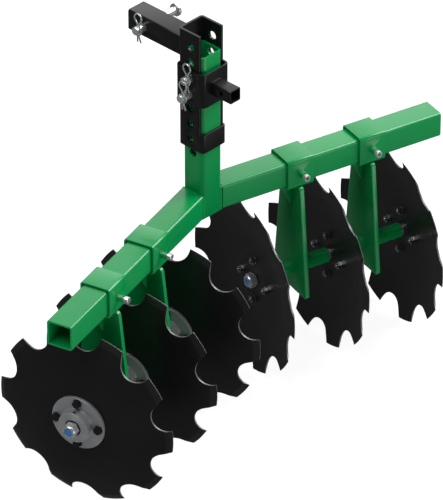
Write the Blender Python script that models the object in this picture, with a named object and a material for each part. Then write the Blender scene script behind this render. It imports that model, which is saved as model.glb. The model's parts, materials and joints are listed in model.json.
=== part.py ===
"""Disc harrow for a small tractor or utility vehicle, built from its pieces.

A V of two square-tube arms carries four clamp-on shanks.  Each pair of
shanks holds one gang: an axle with three notched, dished blades that turn
together.  A pinned bracket and a drawbar at the point of the V make the hitch.

Units are metres, +X is to the right, +Y is the way the harrow travels and
+Z is up.  The floor is z = 0 and the origin is under the middle of the whole
machine.
"""

import math

import bmesh
import bpy
from mathutils import Matrix, Vector

# ---------------------------------------------------------------------------
# Driving dimensions
# ---------------------------------------------------------------------------
MESH_GAP = 0.0003            # left between faces that touch in the real thing
RUNNING_GAP = 0.005          # end clearance of everything that turns

# Frame: mast and two swept arms
SWEEP = math.radians(15.0)   # how far each arm is swept back
ARM_SIZE = 0.060
ARM_WALL = 0.0045
ARM_CORNER = 0.006
ARM_LENGTH = 0.599           # along the centre line, from the point of the V
ARM_OVER_AXLE = 0.265        # arm centre above gang axle
MAST_SIZE = 0.060
MAST_WALL = 0.005
MAST_CORNER = 0.010
MAST_TOP = 0.375             # above the arm centre

# Hitch: bracket around the mast, drawbar, collar and the collar's stub
BRACKET_CLEARANCE = 0.0005
BRACKET_WALL = 0.0055
BRACKET_CORNER = 0.008
BRACKET_BOTTOM = 0.1425      # above the arm centre
BRACKET_HEIGHT = 0.288
BRACKET_RING = 0.044         # closed ring left at the bottom of the bracket
BRACKET_CUT = 0.010          # depth cut off the back of the bracket above it
DRAWBAR_SIZE = 0.050
DRAWBAR_WALL = 0.005
DRAWBAR_CORNER = 0.005
DRAWBAR_BELOW_TOP = 0.0535   # drawbar centre below the bracket's top
DRAWBAR_LENGTH = 0.159
COLLAR_CLEARANCE = 0.0005
COLLAR_WALL = 0.0045
COLLAR_CORNER = 0.011
COLLAR_HEIGHT = 0.082
STUB_SIZE = 0.031
STUB_WALL = 0.003
STUB_CORNER = 0.003
STUB_LENGTH = 0.055

# Pins, their holes and their hairpin clips
PIN_DIAMETER = 0.019
PIN_CLEARANCE = 0.0005       # all round, in every hole
PIN_HEAD_DIAMETER = 0.030
PIN_HEAD_HEIGHT = 0.008
HOLE_PITCH = 0.0381
HOLE_COUNT = 7               # in the bracket
MAST_HOLES = 7               # in the mast, from the top down
TOP_HOLE_BELOW_TOP = 0.0345
UPPER_PIN_HOLE = 2           # counted from the top hole, which is 0
LOWER_PIN_HOLE = 3
UPPER_PIN_TIP = 0.018        # past the collar's left face
HITCH_PIN_TIP = 0.027        # past the drawbar's left face
HITCH_PIN_SETBACK = 0.045    # from the drawbar's front end
HITCH_PIN_SPARE = 0.045      # shank left bare under the hitch pin's head
CLIP_WIRE = 0.0036
CLIP_FROM_TIP = 0.0095
CLIP_PASS = 0.0007           # lower clip's loop in front of the upper pin
CLIP_HOLE_CLEARANCE = 0.0004
CLIP_LOOP_RADIUS = 0.0105
CLIP_NECK = 0.021            # loop centre to the top of the pin
CLIP_LEG = 0.018             # straight tail below the pin, where it has room

# Shanks: clamp sleeve, plate with gussets, bearing tube, set bolt
SLEEVE_CLEARANCE = 0.001
SLEEVE_WALL = 0.005
SLEEVE_CORNER = 0.007
SLEEVE_LENGTH = 0.066
SHANK_STATIONS = (0.234, 0.418)   # along the arm, from the point of the V
PLATE_THICKNESS = 0.012
PLATE_TOP_HALF = 0.040
PLATE_FOOT_HALF = 0.069
PLATE_FOOT_BELOW_AXLE = 0.048
PLATE_TOP_ROUND = 0.009
PLATE_FOOT_ROUND = 0.006
GUSSET_THICKNESS = 0.008
GUSSET_DEPTH = 0.055
BEARING_OUTER = 0.0337
BEARING_WALL = 0.0032
BOSS_DIAMETER = 0.016
BOSS_HEIGHT = 0.014
SET_BOLT_DIAMETER = 0.010
SET_BOLT_CLEARANCE = 0.0004
SET_BOLT_HEAD = 0.0155
SET_BOLT_HEAD_HEIGHT = 0.010
SET_BOLT_NECK = 0.003        # thread left bare between boss and head
SET_BOLT_SOCKET = 0.008      # across the flats of the hexagon in the head

# Gangs: blades, hubs, axles and nuts
BLADE_STATIONS = (0.1375, 0.3285, 0.5195)   # inner face of each blade
BLADE_RADIUS = 0.210
BLADE_THICKNESS = 0.004
BLADE_DISH = 0.026           # rim to flat centre, on the hollow side
BLADE_FLAT_RADIUS = 0.066
BLADE_TEETH = 10
NOTCH_ANGLE = math.radians(21.4)
NOTCH_RADIUS = 0.0345
NOTCH_CENTRE_INSET = 0.0025  # notch circle's centre inside the rim circle
NOTCH_OFFSET = math.radians(1.1)   # notch circle moved toward its steep side
HUB_FLANGE_RADIUS = 0.063
HUB_FLANGE_THICKNESS = 0.008
HUB_BARREL_RADIUS = 0.036
HUB_BARREL_LENGTH = 0.0205
AXLE_DIAMETER = 0.025
AXLE_CLEARANCE = 0.0003      # all round, in blades, hubs and nuts
AXLE_THREAD = 0.020          # diameter of the axle's threaded ends
AXLE_RECESS = 0.004          # axle end inside its nut
NUT_FLATS = 0.030
NUT_HEIGHT = 0.0195

# ---------------------------------------------------------------------------
# Sizes and places that follow from those above
# ---------------------------------------------------------------------------
TOOTH_PITCH = math.tau / BLADE_TEETH
AXLE_HEIGHT = BLADE_RADIUS * math.cos(NOTCH_ANGLE / 2)
ARM_HEIGHT = AXLE_HEIGHT + ARM_OVER_AXLE

BRACKET_SIZE = MAST_SIZE + 2 * (BRACKET_CLEARANCE + BRACKET_WALL)
COLLAR_SIZE = BRACKET_SIZE + 2 * (COLLAR_CLEARANCE + COLLAR_WALL)
SLEEVE_SIZE = ARM_SIZE + 2 * (SLEEVE_CLEARANCE + SLEEVE_WALL)
PIN_HOLE = PIN_DIAMETER + 2 * PIN_CLEARANCE
AXLE_HOLE = AXLE_DIAMETER + 2 * AXLE_CLEARANCE
NUT_BORE = AXLE_THREAD + 2 * AXLE_CLEARANCE
HUB_LENGTH = HUB_FLANGE_THICKNESS + HUB_BARREL_LENGTH

# The arm centre lines cross the middle of the mast's side faces.
APEX_Y = MAST_SIZE / 2 * math.tan(SWEEP)
FRONT_Y = BRACKET_SIZE / 2 + MESH_GAP + DRAWBAR_LENGTH
RIM_STATION = BLADE_STATIONS[-1] - BLADE_DISH
REAR_Y = APEX_Y - RIM_STATION * math.sin(SWEEP) - BLADE_RADIUS * math.cos(SWEEP)
MAST_Y = -(FRONT_Y + REAR_Y) / 2

BRACKET_TOP_Z = ARM_HEIGHT + BRACKET_BOTTOM + BRACKET_HEIGHT
DRAWBAR_Z = BRACKET_TOP_Z - DRAWBAR_BELOW_TOP
TOP_HOLE_Z = BRACKET_TOP_Z - TOP_HOLE_BELOW_TOP
UPPER_PIN_Z = TOP_HOLE_Z - UPPER_PIN_HOLE * HOLE_PITCH
LOWER_PIN_Z = TOP_HOLE_Z - LOWER_PIN_HOLE * HOLE_PITCH
COLLAR_Z = (UPPER_PIN_Z + LOWER_PIN_Z) / 2
LOWER_PIN_TIP = UPPER_PIN_TIP + CLIP_FROM_TIP + CLIP_WIRE / 2 + CLIP_PASS
CLIP_TAIL = min(CLIP_LEG, HOLE_PITCH - PIN_DIAMETER - CLIP_PASS)

GREEN = (0.005, 0.180, 0.050)
BLACK = (0.012, 0.012, 0.013)
BLADE_BLACK = (0.010, 0.010, 0.011)
CAST_GREY = (0.160, 0.170, 0.180)
ZINC = (0.620, 0.630, 0.640)


# ---------------------------------------------------------------------------
# Building blocks
# ---------------------------------------------------------------------------
def clear_scene():
    """Remove whatever the file opened with."""
    for item in list(bpy.data.objects):
        bpy.data.objects.remove(item, do_unlink=True)


def finish(name, colour, roughness, metallic):
    """Return a new plain surface finish."""
    material = bpy.data.materials.new(name)
    material.use_nodes = True
    shader = material.node_tree.nodes["Principled BSDF"]
    shader.inputs["Base Color"].default_value = (*colour, 1.0)
    shader.inputs["Roughness"].default_value = roughness
    shader.inputs["Metallic"].default_value = metallic
    return material


def add_object(name, bm):
    """Turn a bmesh into a linked object."""
    bmesh.ops.recalc_face_normals(bm, faces=bm.faces)
    mesh = bpy.data.meshes.new(name)
    bm.to_mesh(mesh)
    bm.free()
    body = bpy.data.objects.new(name, mesh)
    bpy.context.scene.collection.objects.link(body)
    return body


def add_empty(name, location=(0.0, 0.0, 0.0), turn=0.0, parent=None):
    """Add a frame for other pieces to hang on, turned about Z."""
    frame = bpy.data.objects.new(name, None)
    frame.empty_display_size = 0.05
    frame.location = location
    frame.rotation_euler = (0.0, 0.0, turn)
    frame.parent = parent
    bpy.context.scene.collection.objects.link(frame)
    return frame


def combine(body, other, operation):
    """Apply one Boolean to body and use up the other object."""
    bpy.context.view_layer.update()
    step = body.modifiers.new(operation.lower(), "BOOLEAN")
    step.object = other
    step.operation = operation
    step.solver = "EXACT"
    graph = bpy.context.evaluated_depsgraph_get()
    result = bpy.data.meshes.new_from_object(body.evaluated_get(graph))
    body.modifiers.clear()
    spare = body.data
    body.data = result
    bpy.data.meshes.remove(spare)
    bpy.data.objects.remove(other, do_unlink=True)


def rounded_square(size, radius, steps=5):
    """Outline of a square section with round corners, centred."""
    half = size / 2 - radius
    outline = []
    for quarter, (sx, sy) in enumerate(((1, 1), (-1, 1), (-1, -1), (1, -1))):
        for step in range(steps + 1):
            angle = (quarter + step / steps) * math.pi / 2
            outline.append((sx * half + radius * math.cos(angle),
                            sy * half + radius * math.sin(angle)))
    return outline


def circle(radius, steps, start=0.0):
    """Outline of a regular polygon that stands for a circle."""
    return [(radius * math.cos(start + math.tau * i / steps),
             radius * math.sin(start + math.tau * i / steps))
            for i in range(steps)]


def prism(name, outline, low, high):
    """Extrude an outline along its frame's Z from low to high."""
    bm = bmesh.new()
    base = bm.faces.new([bm.verts.new((x, y, low)) for x, y in outline])
    lifted = bmesh.ops.extrude_face_region(bm, geom=[base])["geom"]
    moved = [v for v in lifted if isinstance(v, bmesh.types.BMVert)]
    bmesh.ops.translate(bm, verts=moved, vec=(0.0, 0.0, high - low))
    return add_object(name, bm)


def tube(name, outer, inner, low, high):
    """Extrude a hollow section, given as two outlines of equal length."""
    bm = bmesh.new()
    rings = [[bm.verts.new((x, y, z)) for x, y in outline]
             for z in (low, high) for outline in (outer, inner)]
    low_out, low_in, high_out, high_in = rings
    for first, second in ((low_out, low_in), (low_in, high_in),
                          (high_in, high_out), (high_out, low_out)):
        count = len(first)
        for i in range(count):
            j = (i + 1) % count
            bm.faces.new((first[i], first[j], second[j], second[i]))
    return add_object(name, bm)


def spun(name, profile, steps):
    """Spin a closed profile of (along, radius) points about Z."""
    bm = bmesh.new()
    ring = [bm.verts.new((radius, 0.0, along)) for along, radius in profile]
    edges = [bm.edges.new((ring[i], ring[(i + 1) % len(ring)]))
             for i in range(len(ring))]
    bmesh.ops.spin(bm, geom=ring + edges, cent=(0.0, 0.0, 0.0),
                   axis=(0.0, 0.0, 1.0), angle=math.tau, steps=steps,
                   use_merge=True)
    bmesh.ops.remove_doubles(bm, verts=bm.verts, dist=1e-6)
    return add_object(name, bm)


def rod(name, radius, low, high, steps=24):
    """A plain round bar along Z."""
    return prism(name, circle(radius, steps), low, high)


# Turns that point a shape made along Z down another axis of its frame.
ALONG_X = Matrix.Rotation(math.pi / 2, 4, "Y")
ALONG_Y = Matrix.Rotation(-math.pi / 2, 4, "X")


def reshape(body, matrix):
    """Move a body's mesh inside its own frame."""
    body.data.transform(matrix)
    if matrix.determinant() < 0:
        body.data.flip_normals()
    body.data.update()
    return body


def square_tube(name, size, wall, corner, low, high, steps=5):
    """Square section tube along its frame's Z."""
    outer = rounded_square(size, corner, steps)
    inner = rounded_square(size - 2 * wall, max(corner - wall, 0.001), steps)
    return tube(name, outer, inner, low, high)


def place(body, parent, location=(0.0, 0.0, 0.0), surface=None):
    """Hang a body on its frame and give it its finish."""
    body.parent = parent
    body.location = location
    label, colour, roughness, metallic = surface
    body.data.materials.clear()
    body.data.materials.append(
        finish(f"{body.name}_{label}", colour, roughness, metallic))
    for face in body.data.polygons:
        face.use_smooth = False
    return body


PAINT_GREEN = ("green_paint", GREEN, 0.35, 0.0)
PAINT_BLACK = ("black_paint", BLACK, 0.40, 0.0)
BLADE_FINISH = ("blade_coat", BLADE_BLACK, 0.42, 0.1)
CASTING = ("grey_casting", CAST_GREY, 0.45, 0.6)
PLATING = ("zinc_plate", ZINC, 0.30, 0.9)


# ---------------------------------------------------------------------------
# Frame
# ---------------------------------------------------------------------------
def pin_heights():
    """Heights of the bracket's holes, top hole first."""
    return [TOP_HOLE_Z - i * HOLE_PITCH for i in range(HOLE_COUNT)]


def cross_hole(height, y=0.0, reach=0.2, diameter=PIN_HOLE):
    """A bar along X that cuts one pin hole right through."""
    cutter = reshape(rod("hole", diameter / 2, -reach / 2, reach / 2, 16),
                     ALONG_X)
    cutter.location = (0.0, y, height)
    return cutter


def build_mast(frame):
    """The upright square tube at the point of the V, with its pin holes."""
    bottom = ARM_HEIGHT - ARM_SIZE / 2
    top = ARM_HEIGHT + MAST_TOP
    mast = square_tube("mast", MAST_SIZE, MAST_WALL, MAST_CORNER, bottom, top)
    lowest = bottom + ARM_SIZE + PIN_HOLE
    highest = top - PIN_HOLE / 2 - MAST_WALL
    first = math.ceil((TOP_HOLE_Z - highest) / HOLE_PITCH)
    last = min(first + MAST_HOLES - 1,
               math.floor((TOP_HOLE_Z - lowest) / HOLE_PITCH))
    for index in range(first, last + 1):
        combine(mast, cross_hole(TOP_HOLE_Z - index * HOLE_PITCH), "DIFFERENCE")
    place(mast, frame, surface=PAINT_GREEN)


def build_arm(name, rail, side):
    """One swept arm, its inner end cut to lie flat on the mast."""
    arm = square_tube(name, ARM_SIZE, ARM_WALL, ARM_CORNER, 0.0, ARM_LENGTH)
    reshape(arm, ALONG_X)
    face = MAST_SIZE / 2 + MESH_GAP
    for vertex in arm.data.vertices:
        if vertex.co.x < ARM_LENGTH / 2:
            vertex.co.x = ((face - side * vertex.co.y * math.sin(SWEEP))
                           / math.cos(SWEEP))
    place(arm, rail, surface=PAINT_GREEN)


def build_bracket(frame):
    """The hitch bracket: a tube round the mast, open at the back above its
    ring, with a row of height holes in both flanges."""
    bottom = ARM_HEIGHT + BRACKET_BOTTOM
    bracket = square_tube("hitch_bracket", BRACKET_SIZE, BRACKET_WALL,
                          BRACKET_CORNER, bottom, BRACKET_TOP_Z)
    half = BRACKET_SIZE / 2
    back = [(-half - 0.01, -half - 0.01), (half + 0.01, -half - 0.01),
            (half + 0.01, -half + BRACKET_CUT),
            (-half - 0.01, -half + BRACKET_CUT)]
    combine(bracket, prism("back", back, bottom + BRACKET_RING,
                           BRACKET_TOP_Z + 0.01), "DIFFERENCE")
    for height in pin_heights():
        combine(bracket, cross_hole(height), "DIFFERENCE")
    place(bracket, frame, surface=PAINT_BLACK)


def build_drawbar(frame):
    """The square bar that goes to the towing vehicle, with its pin hole."""
    bar = square_tube("drawbar", DRAWBAR_SIZE, DRAWBAR_WALL, DRAWBAR_CORNER,
                      0.0, DRAWBAR_LENGTH)
    reshape(bar, ALONG_Y)
    combine(bar, cross_hole(0.0, DRAWBAR_LENGTH - HITCH_PIN_SETBACK),
            "DIFFERENCE")
    start = BRACKET_SIZE / 2 + MESH_GAP
    place(bar, frame, (0.0, start, DRAWBAR_Z), PAINT_BLACK)


def build_collar(frame):
    """The collar round bracket and mast, and the stub tube behind it."""
    low, high = COLLAR_Z - COLLAR_HEIGHT / 2, COLLAR_Z + COLLAR_HEIGHT / 2
    collar = square_tube("mast_collar", COLLAR_SIZE, COLLAR_WALL,
                         COLLAR_CORNER, low, high)
    for height in (UPPER_PIN_Z, LOWER_PIN_Z):
        combine(collar, cross_hole(height), "DIFFERENCE")
    place(collar, frame, surface=PAINT_BLACK)

    stub = square_tube("collar_stub", STUB_SIZE, STUB_WALL, STUB_CORNER,
                       -STUB_LENGTH, 0.0, 3)
    reshape(stub, ALONG_Y)
    combine(stub, cross_hole(0.0, -STUB_LENGTH / 2, diameter=STUB_SIZE / 3),
            "DIFFERENCE")
    start = -COLLAR_SIZE / 2 - MESH_GAP
    place(stub, frame, (0.0, start, COLLAR_Z), PAINT_BLACK)


def build_pin(name, frame, y, height, half_grip, tip, spare=0.0):
    """A headed pin across the machine, head on the right, with its clip."""
    seat = half_grip + MESH_GAP + spare
    radius = PIN_DIAMETER / 2
    chamfer = radius / 5
    head = PIN_HEAD_DIAMETER / 2
    profile = [(-half_grip - tip, 0.0), (-half_grip - tip, radius - chamfer),
               (-half_grip - tip + chamfer, radius), (seat, radius),
               (seat, head), (seat + PIN_HEAD_HEIGHT, head),
               (seat + PIN_HEAD_HEIGHT, 0.0)]
    pin = solid_of_revolution(name, profile, 24)
    reshape(pin, ALONG_X)
    clip_x = -half_grip - tip + CLIP_FROM_TIP
    eye = rod("eye", CLIP_WIRE / 2 + CLIP_HOLE_CLEARANCE, -0.05, 0.05, 12)
    eye.location = (clip_x, 0.0, 0.0)
    combine(pin, eye, "DIFFERENCE")
    place(pin, frame, (0.0, y, height), PLATING)
    build_clip(f"{name}_clip", frame, (clip_x, y, height))


def solid_of_revolution(name, profile, steps):
    """Spin an open profile that starts and ends on the axis."""
    bm = bmesh.new()
    chain = [bm.verts.new((radius, 0.0, along)) for along, radius in profile]
    edges = [bm.edges.new(pair) for pair in zip(chain, chain[1:])]
    bmesh.ops.spin(bm, geom=chain + edges, cent=(0.0, 0.0, 0.0),
                   axis=(0.0, 0.0, 1.0), angle=math.tau, steps=steps,
                   use_merge=True)
    bmesh.ops.remove_doubles(bm, verts=bm.verts, dist=1e-6)
    return add_object(name, bm)


def clip_route():
    """Centre line of a hairpin clip in its own plane: tail, straight leg
    through the pin, loop, neck, bow round the pin and second tail."""
    wire = CLIP_WIRE / 2
    bow = PIN_DIAMETER / 2 + wire + MESH_GAP
    loop_z = PIN_DIAMETER / 2 + CLIP_NECK
    neck = CLIP_WIRE + MESH_GAP
    route = [(0.0, -PIN_DIAMETER / 2 - CLIP_TAIL), (0.0, 0.0),
             (0.0, PIN_DIAMETER / 2 + wire)]
    centre_y = -neck / 2
    for step in range(9):
        angle = math.radians(-30.0 + 240.0 * step / 8)
        route.append((centre_y + CLIP_LOOP_RADIUS * math.cos(angle),
                      loop_z + CLIP_LOOP_RADIUS * math.sin(angle)))
    route.append((-neck, PIN_DIAMETER / 2 + wire))
    for step in range(7):
        angle = math.radians(125.0 + 110.0 * step / 6)
        route.append((bow * math.cos(angle), bow * math.sin(angle)))
    route.append((-neck, -PIN_DIAMETER / 2 - wire))
    route.append((-2 * neck, -PIN_DIAMETER / 2 - CLIP_TAIL))
    return route


def build_clip(name, frame, location):
    """A bent-wire hairpin clip that holds one pin."""
    curve = bpy.data.curves.new(name, "CURVE")
    curve.dimensions = "3D"
    curve.bevel_depth = CLIP_WIRE / 2
    curve.bevel_resolution = 1
    curve.use_fill_caps = True
    route = clip_route()
    line = curve.splines.new("POLY")
    line.points.add(len(route) - 1)
    for point, (y, z) in zip(line.points, route):
        point.co = (0.0, y, z, 1.0)
    clip = bpy.data.objects.new(name, curve)
    bpy.context.scene.collection.objects.link(clip)
    clip.parent = frame
    clip.location = location
    label, colour, roughness, metallic = PLATING
    curve.materials.append(finish(f"{name}_{label}", colour, roughness,
                                  metallic))


# ---------------------------------------------------------------------------
# Shanks
# ---------------------------------------------------------------------------
def build_sleeve(name, carrier, station, side):
    """Square clamp sleeve round the arm, with the set bolt's boss on its
    back face."""
    sleeve = square_tube(name, SLEEVE_SIZE, SLEEVE_WALL, SLEEVE_CORNER,
                         -SLEEVE_LENGTH / 2, SLEEVE_LENGTH / 2)
    reshape(sleeve, ALONG_X)
    back = Matrix.Rotation(side * math.pi / 2, 4, "X")
    root = SLEEVE_SIZE / 2 - SLEEVE_WALL / 2
    boss = rod("boss", BOSS_DIAMETER / 2, root, SLEEVE_SIZE / 2 + BOSS_HEIGHT)
    combine(sleeve, reshape(boss, back), "UNION")
    bore = rod("bore", SET_BOLT_DIAMETER / 2 + SET_BOLT_CLEARANCE,
               ARM_SIZE / 2 - SLEEVE_CLEARANCE,
               SLEEVE_SIZE / 2 + BOSS_HEIGHT + 0.01)
    combine(sleeve, reshape(bore, back), "DIFFERENCE")
    place(sleeve, carrier, (station, 0.0, 0.0), PAINT_GREEN)


def build_set_bolt(name, carrier, station, side):
    """Socket-head bolt that locks a sleeve to the arm."""
    shank = SET_BOLT_DIAMETER / 2
    head = SET_BOLT_HEAD / 2
    tip = ARM_SIZE / 2 + MESH_GAP
    under = SLEEVE_SIZE / 2 + BOSS_HEIGHT + SET_BOLT_NECK
    top = under + SET_BOLT_HEAD_HEIGHT
    profile = [(tip, 0.0), (tip, shank), (under, shank), (under, head),
               (top - 0.001, head), (top, head - 0.001), (top, 0.0)]
    bolt = solid_of_revolution(name, profile, 24)
    recess = prism("recess", circle(SET_BOLT_SOCKET / math.sqrt(3), 6),
                   top - SET_BOLT_HEAD_HEIGHT / 2, top + 0.01)
    combine(bolt, recess, "DIFFERENCE")
    reshape(bolt, Matrix.Rotation(side * math.pi / 2, 4, "X"))
    place(bolt, carrier, (station, 0.0, 0.0), PLATING)


def rounded_outline(corners, steps=5):
    """Outline through (x, y, radius) corners, each filleted to its radius."""
    outline = []
    count = len(corners)
    for i, (x, y, radius) in enumerate(corners):
        here = Vector((x, y))
        to_last = (Vector(corners[i - 1][:2]) - here).normalized()
        to_next = (Vector(corners[(i + 1) % count][:2]) - here).normalized()
        if radius <= 0.0:
            outline.append((x, y))
            continue
        half_angle = to_last.angle(to_next) / 2
        setback = radius / math.tan(half_angle)
        bisector = (to_last + to_next).normalized()
        centre = here + bisector * (radius / math.sin(half_angle))
        start = here + to_last * setback - centre
        turn = (here + to_next * setback - centre)
        total = start.angle_signed(turn)
        for step in range(steps + 1):
            spoke = start.copy()
            spoke.rotate(Matrix.Rotation(-total * step / steps, 2))
            outline.append(tuple(centre + spoke))
    return outline


def build_plate(name, carrier, station, side):
    """Shank plate across the arm, with a gusset web on each face and the
    hole for its bearing tube."""
    top = -SLEEVE_SIZE / 2 - MESH_GAP
    foot = -ARM_OVER_AXLE - PLATE_FOOT_BELOW_AXLE
    half = PLATE_THICKNESS / 2
    corners = [(PLATE_TOP_HALF, top, PLATE_TOP_ROUND),
               (-PLATE_TOP_HALF, top, PLATE_TOP_ROUND),
               (-PLATE_FOOT_HALF, foot, PLATE_FOOT_ROUND),
               (PLATE_FOOT_HALF, foot, PLATE_FOOT_ROUND)]
    plate = prism(name, rounded_outline(corners), -half, half)
    upright = Matrix(((0, 0, 1, 0), (1, 0, 0, 0), (0, 1, 0, 0), (0, 0, 0, 1)))
    reshape(plate, upright)

    reach = SLEEVE_LENGTH / 2 - half
    web_top = top - MESH_GAP
    for face in (1.0, -1.0):
        root = face * half / 2
        web = [(root, web_top), (face * (half + reach), web_top),
               (face * (half + reach), web_top - GUSSET_THICKNESS / 2),
               (face * half, top - GUSSET_DEPTH),
               (root, top - GUSSET_DEPTH)]
        if face < 0:
            web.reverse()
        gusset = prism("gusset", web, -GUSSET_THICKNESS / 2,
                       GUSSET_THICKNESS / 2)
        reshape(gusset, Matrix.Rotation(math.pi / 2, 4, "X"))
        combine(plate, gusset, "UNION")

    bore = reshape(rod("bore", BEARING_OUTER / 2 + MESH_GAP,
                       -PLATE_THICKNESS, PLATE_THICKNESS, 32), ALONG_X)
    bore.location = (0.0, 0.0, -ARM_OVER_AXLE)
    combine(plate, bore, "DIFFERENCE")
    place(plate, carrier, (station, 0.0, 0.0), PAINT_GREEN)


def build_bearing(name, carrier, inner_blade, outer_blade):
    """Bearing tube through the plate, from the inner blade's hub to the
    hollow side of the outer blade."""
    low = (inner_blade + BLADE_THICKNESS + MESH_GAP + HUB_LENGTH
           + RUNNING_GAP)
    high = outer_blade - RUNNING_GAP
    bearing = tube(name, circle(BEARING_OUTER / 2, 32),
                   circle(BEARING_OUTER / 2 - BEARING_WALL, 32), low, high)
    reshape(bearing, ALONG_X)
    place(bearing, carrier, (0.0, 0.0, -ARM_OVER_AXLE), PAINT_GREEN)


# ---------------------------------------------------------------------------
# Gangs
# ---------------------------------------------------------------------------
def blade_outline():
    """Toothed outline of a blade as a flat polygon.

    Each notch is a circular bite with a steep side, and a straight flank on
    the other side that runs out to the next tooth."""
    outline = []
    bite_radius = BLADE_RADIUS - NOTCH_CENTRE_INSET
    for tooth in range(BLADE_TEETH):
        middle = (tooth + 0.5) * TOOTH_PITCH
        gentle_end = middle - NOTCH_ANGLE / 2
        steep_end = middle + NOTCH_ANGLE / 2
        bite_angle = middle + NOTCH_OFFSET
        centre = Vector((bite_radius * math.cos(bite_angle),
                         bite_radius * math.sin(bite_angle)))
        corner = Vector((BLADE_RADIUS * math.cos(gentle_end),
                         BLADE_RADIUS * math.sin(gentle_end)))
        to_centre = centre - corner
        swing = math.asin(min(NOTCH_RADIUS / to_centre.length, 1.0))
        length = math.sqrt(max(to_centre.length ** 2 - NOTCH_RADIUS ** 2, 0.0))
        flank = to_centre.normalized() * length
        flank.rotate(Matrix.Rotation(swing, 2))
        contact = corner + flank - centre
        landing = Vector((BLADE_RADIUS * math.cos(steep_end),
                          BLADE_RADIUS * math.sin(steep_end))) - centre
        start = math.atan2(contact.y, contact.x)
        finish_angle = math.atan2(landing.y, landing.x)
        while finish_angle > start:
            finish_angle -= math.tau
        while finish_angle <= start - math.tau:
            finish_angle += math.tau
        outline.append(tuple(corner))
        for step in range(8):
            angle = start + (finish_angle - start) * step / 8
            outline.append((centre.x + NOTCH_RADIUS * math.cos(angle),
                            centre.y + NOTCH_RADIUS * math.sin(angle)))
        outline.append((BLADE_RADIUS * math.cos(steep_end),
                        BLADE_RADIUS * math.sin(steep_end)))
        arc = TOOTH_PITCH - NOTCH_ANGLE
        for step in (1, 2):
            angle = steep_end + arc * step / 3
            outline.append((BLADE_RADIUS * math.cos(angle),
                            BLADE_RADIUS * math.sin(angle)))
    return outline


def dish_depth(radius):
    """How far the hollow face at a radius stands back from the flat."""
    run = BLADE_RADIUS - BLADE_FLAT_RADIUS
    sphere = (run ** 2 + BLADE_DISH ** 2) / (2 * BLADE_DISH)
    if radius <= BLADE_FLAT_RADIUS:
        return 0.0
    return sphere - math.sqrt(sphere ** 2 - (radius - BLADE_FLAT_RADIUS) ** 2)


def build_blade(name, gang, station, side):
    """One notched, dished blade, hollow side toward the middle."""
    hole = AXLE_HOLE / 2
    past_rim = BLADE_RADIUS + 0.004
    rings = [BLADE_FLAT_RADIUS + (past_rim - BLADE_FLAT_RADIUS) * i / 4
             for i in range(5)]
    hollow = [(-dish_depth(r), r) for r in [hole] + rings]
    crown = [(BLADE_THICKNESS + along, r) for along, r in reversed(hollow)]
    blade = spun(name, hollow + crown, 5 * BLADE_TEETH)
    cutter = prism("outline", blade_outline(), -0.1, 0.1)
    combine(blade, cutter, "INTERSECT")
    reshape(blade, Matrix(((0, 0, 1, 0), (side, 0, 0, 0), (0, 1, 0, 0),
                           (0, 0, 0, 1))))
    place(blade, gang, (station, 0.0, 0.0), BLADE_FINISH)


def build_hub(name, gang, station):
    """Cast hub with a round flange, on the crowned side of its blade."""
    hole = AXLE_HOLE / 2
    soft = 0.002
    profile = [(0.0, hole), (0.0, HUB_FLANGE_RADIUS),
               (HUB_FLANGE_THICKNESS - soft, HUB_FLANGE_RADIUS),
               (HUB_FLANGE_THICKNESS, HUB_FLANGE_RADIUS - soft),
               (HUB_FLANGE_THICKNESS, HUB_BARREL_RADIUS),
               (HUB_LENGTH - soft, HUB_BARREL_RADIUS),
               (HUB_LENGTH, HUB_BARREL_RADIUS - soft),
               (HUB_LENGTH, hole)]
    hub = reshape(spun(name, profile, 32), ALONG_X)
    place(hub, gang, (station + BLADE_THICKNESS + MESH_GAP, 0.0, 0.0), CASTING)


def hub_face(station):
    """Where a hub's outer end stands on the axle."""
    return station + BLADE_THICKNESS + MESH_GAP + HUB_LENGTH


def build_axle(name, gang):
    """Round axle of one gang, from nut to nut, with threaded ends that
    start just inside the inner blade and the outer hub."""
    first, last = BLADE_STATIONS[0], hub_face(BLADE_STATIONS[-1])
    low = first - MESH_GAP - NUT_HEIGHT + AXLE_RECESS
    high = last + MESH_GAP + NUT_HEIGHT - AXLE_RECESS
    step = BLADE_THICKNESS / 2
    full, thread = AXLE_DIAMETER / 2, AXLE_THREAD / 2
    profile = [(low, 0.0), (low, thread), (first + step, thread),
               (first + step, full), (last - step, full),
               (last - step, thread), (high, thread), (high, 0.0)]
    axle = reshape(solid_of_revolution(name, profile, 32), ALONG_X)
    place(axle, gang, surface=PLATING)


def build_nut(name, gang, seat, outward):
    """Lock nut, six flats and a round collar at its outer end."""
    collar = NUT_HEIGHT * 0.25
    nut = prism(name, circle(NUT_FLATS / math.sqrt(3), 6), 0.0,
                NUT_HEIGHT - collar)
    ring = rod("ring", NUT_FLATS / 2 - 0.002, NUT_HEIGHT - 2 * collar,
               NUT_HEIGHT, 30)
    combine(nut, ring, "UNION")
    combine(nut, rod("bore", NUT_BORE / 2, -0.01, NUT_HEIGHT + 0.01, 32),
            "DIFFERENCE")
    reshape(nut, Matrix.Rotation(outward * math.pi / 2, 4, "Y"))
    place(nut, gang, (seat + outward * MESH_GAP, 0.0, 0.0), PLATING)


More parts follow.
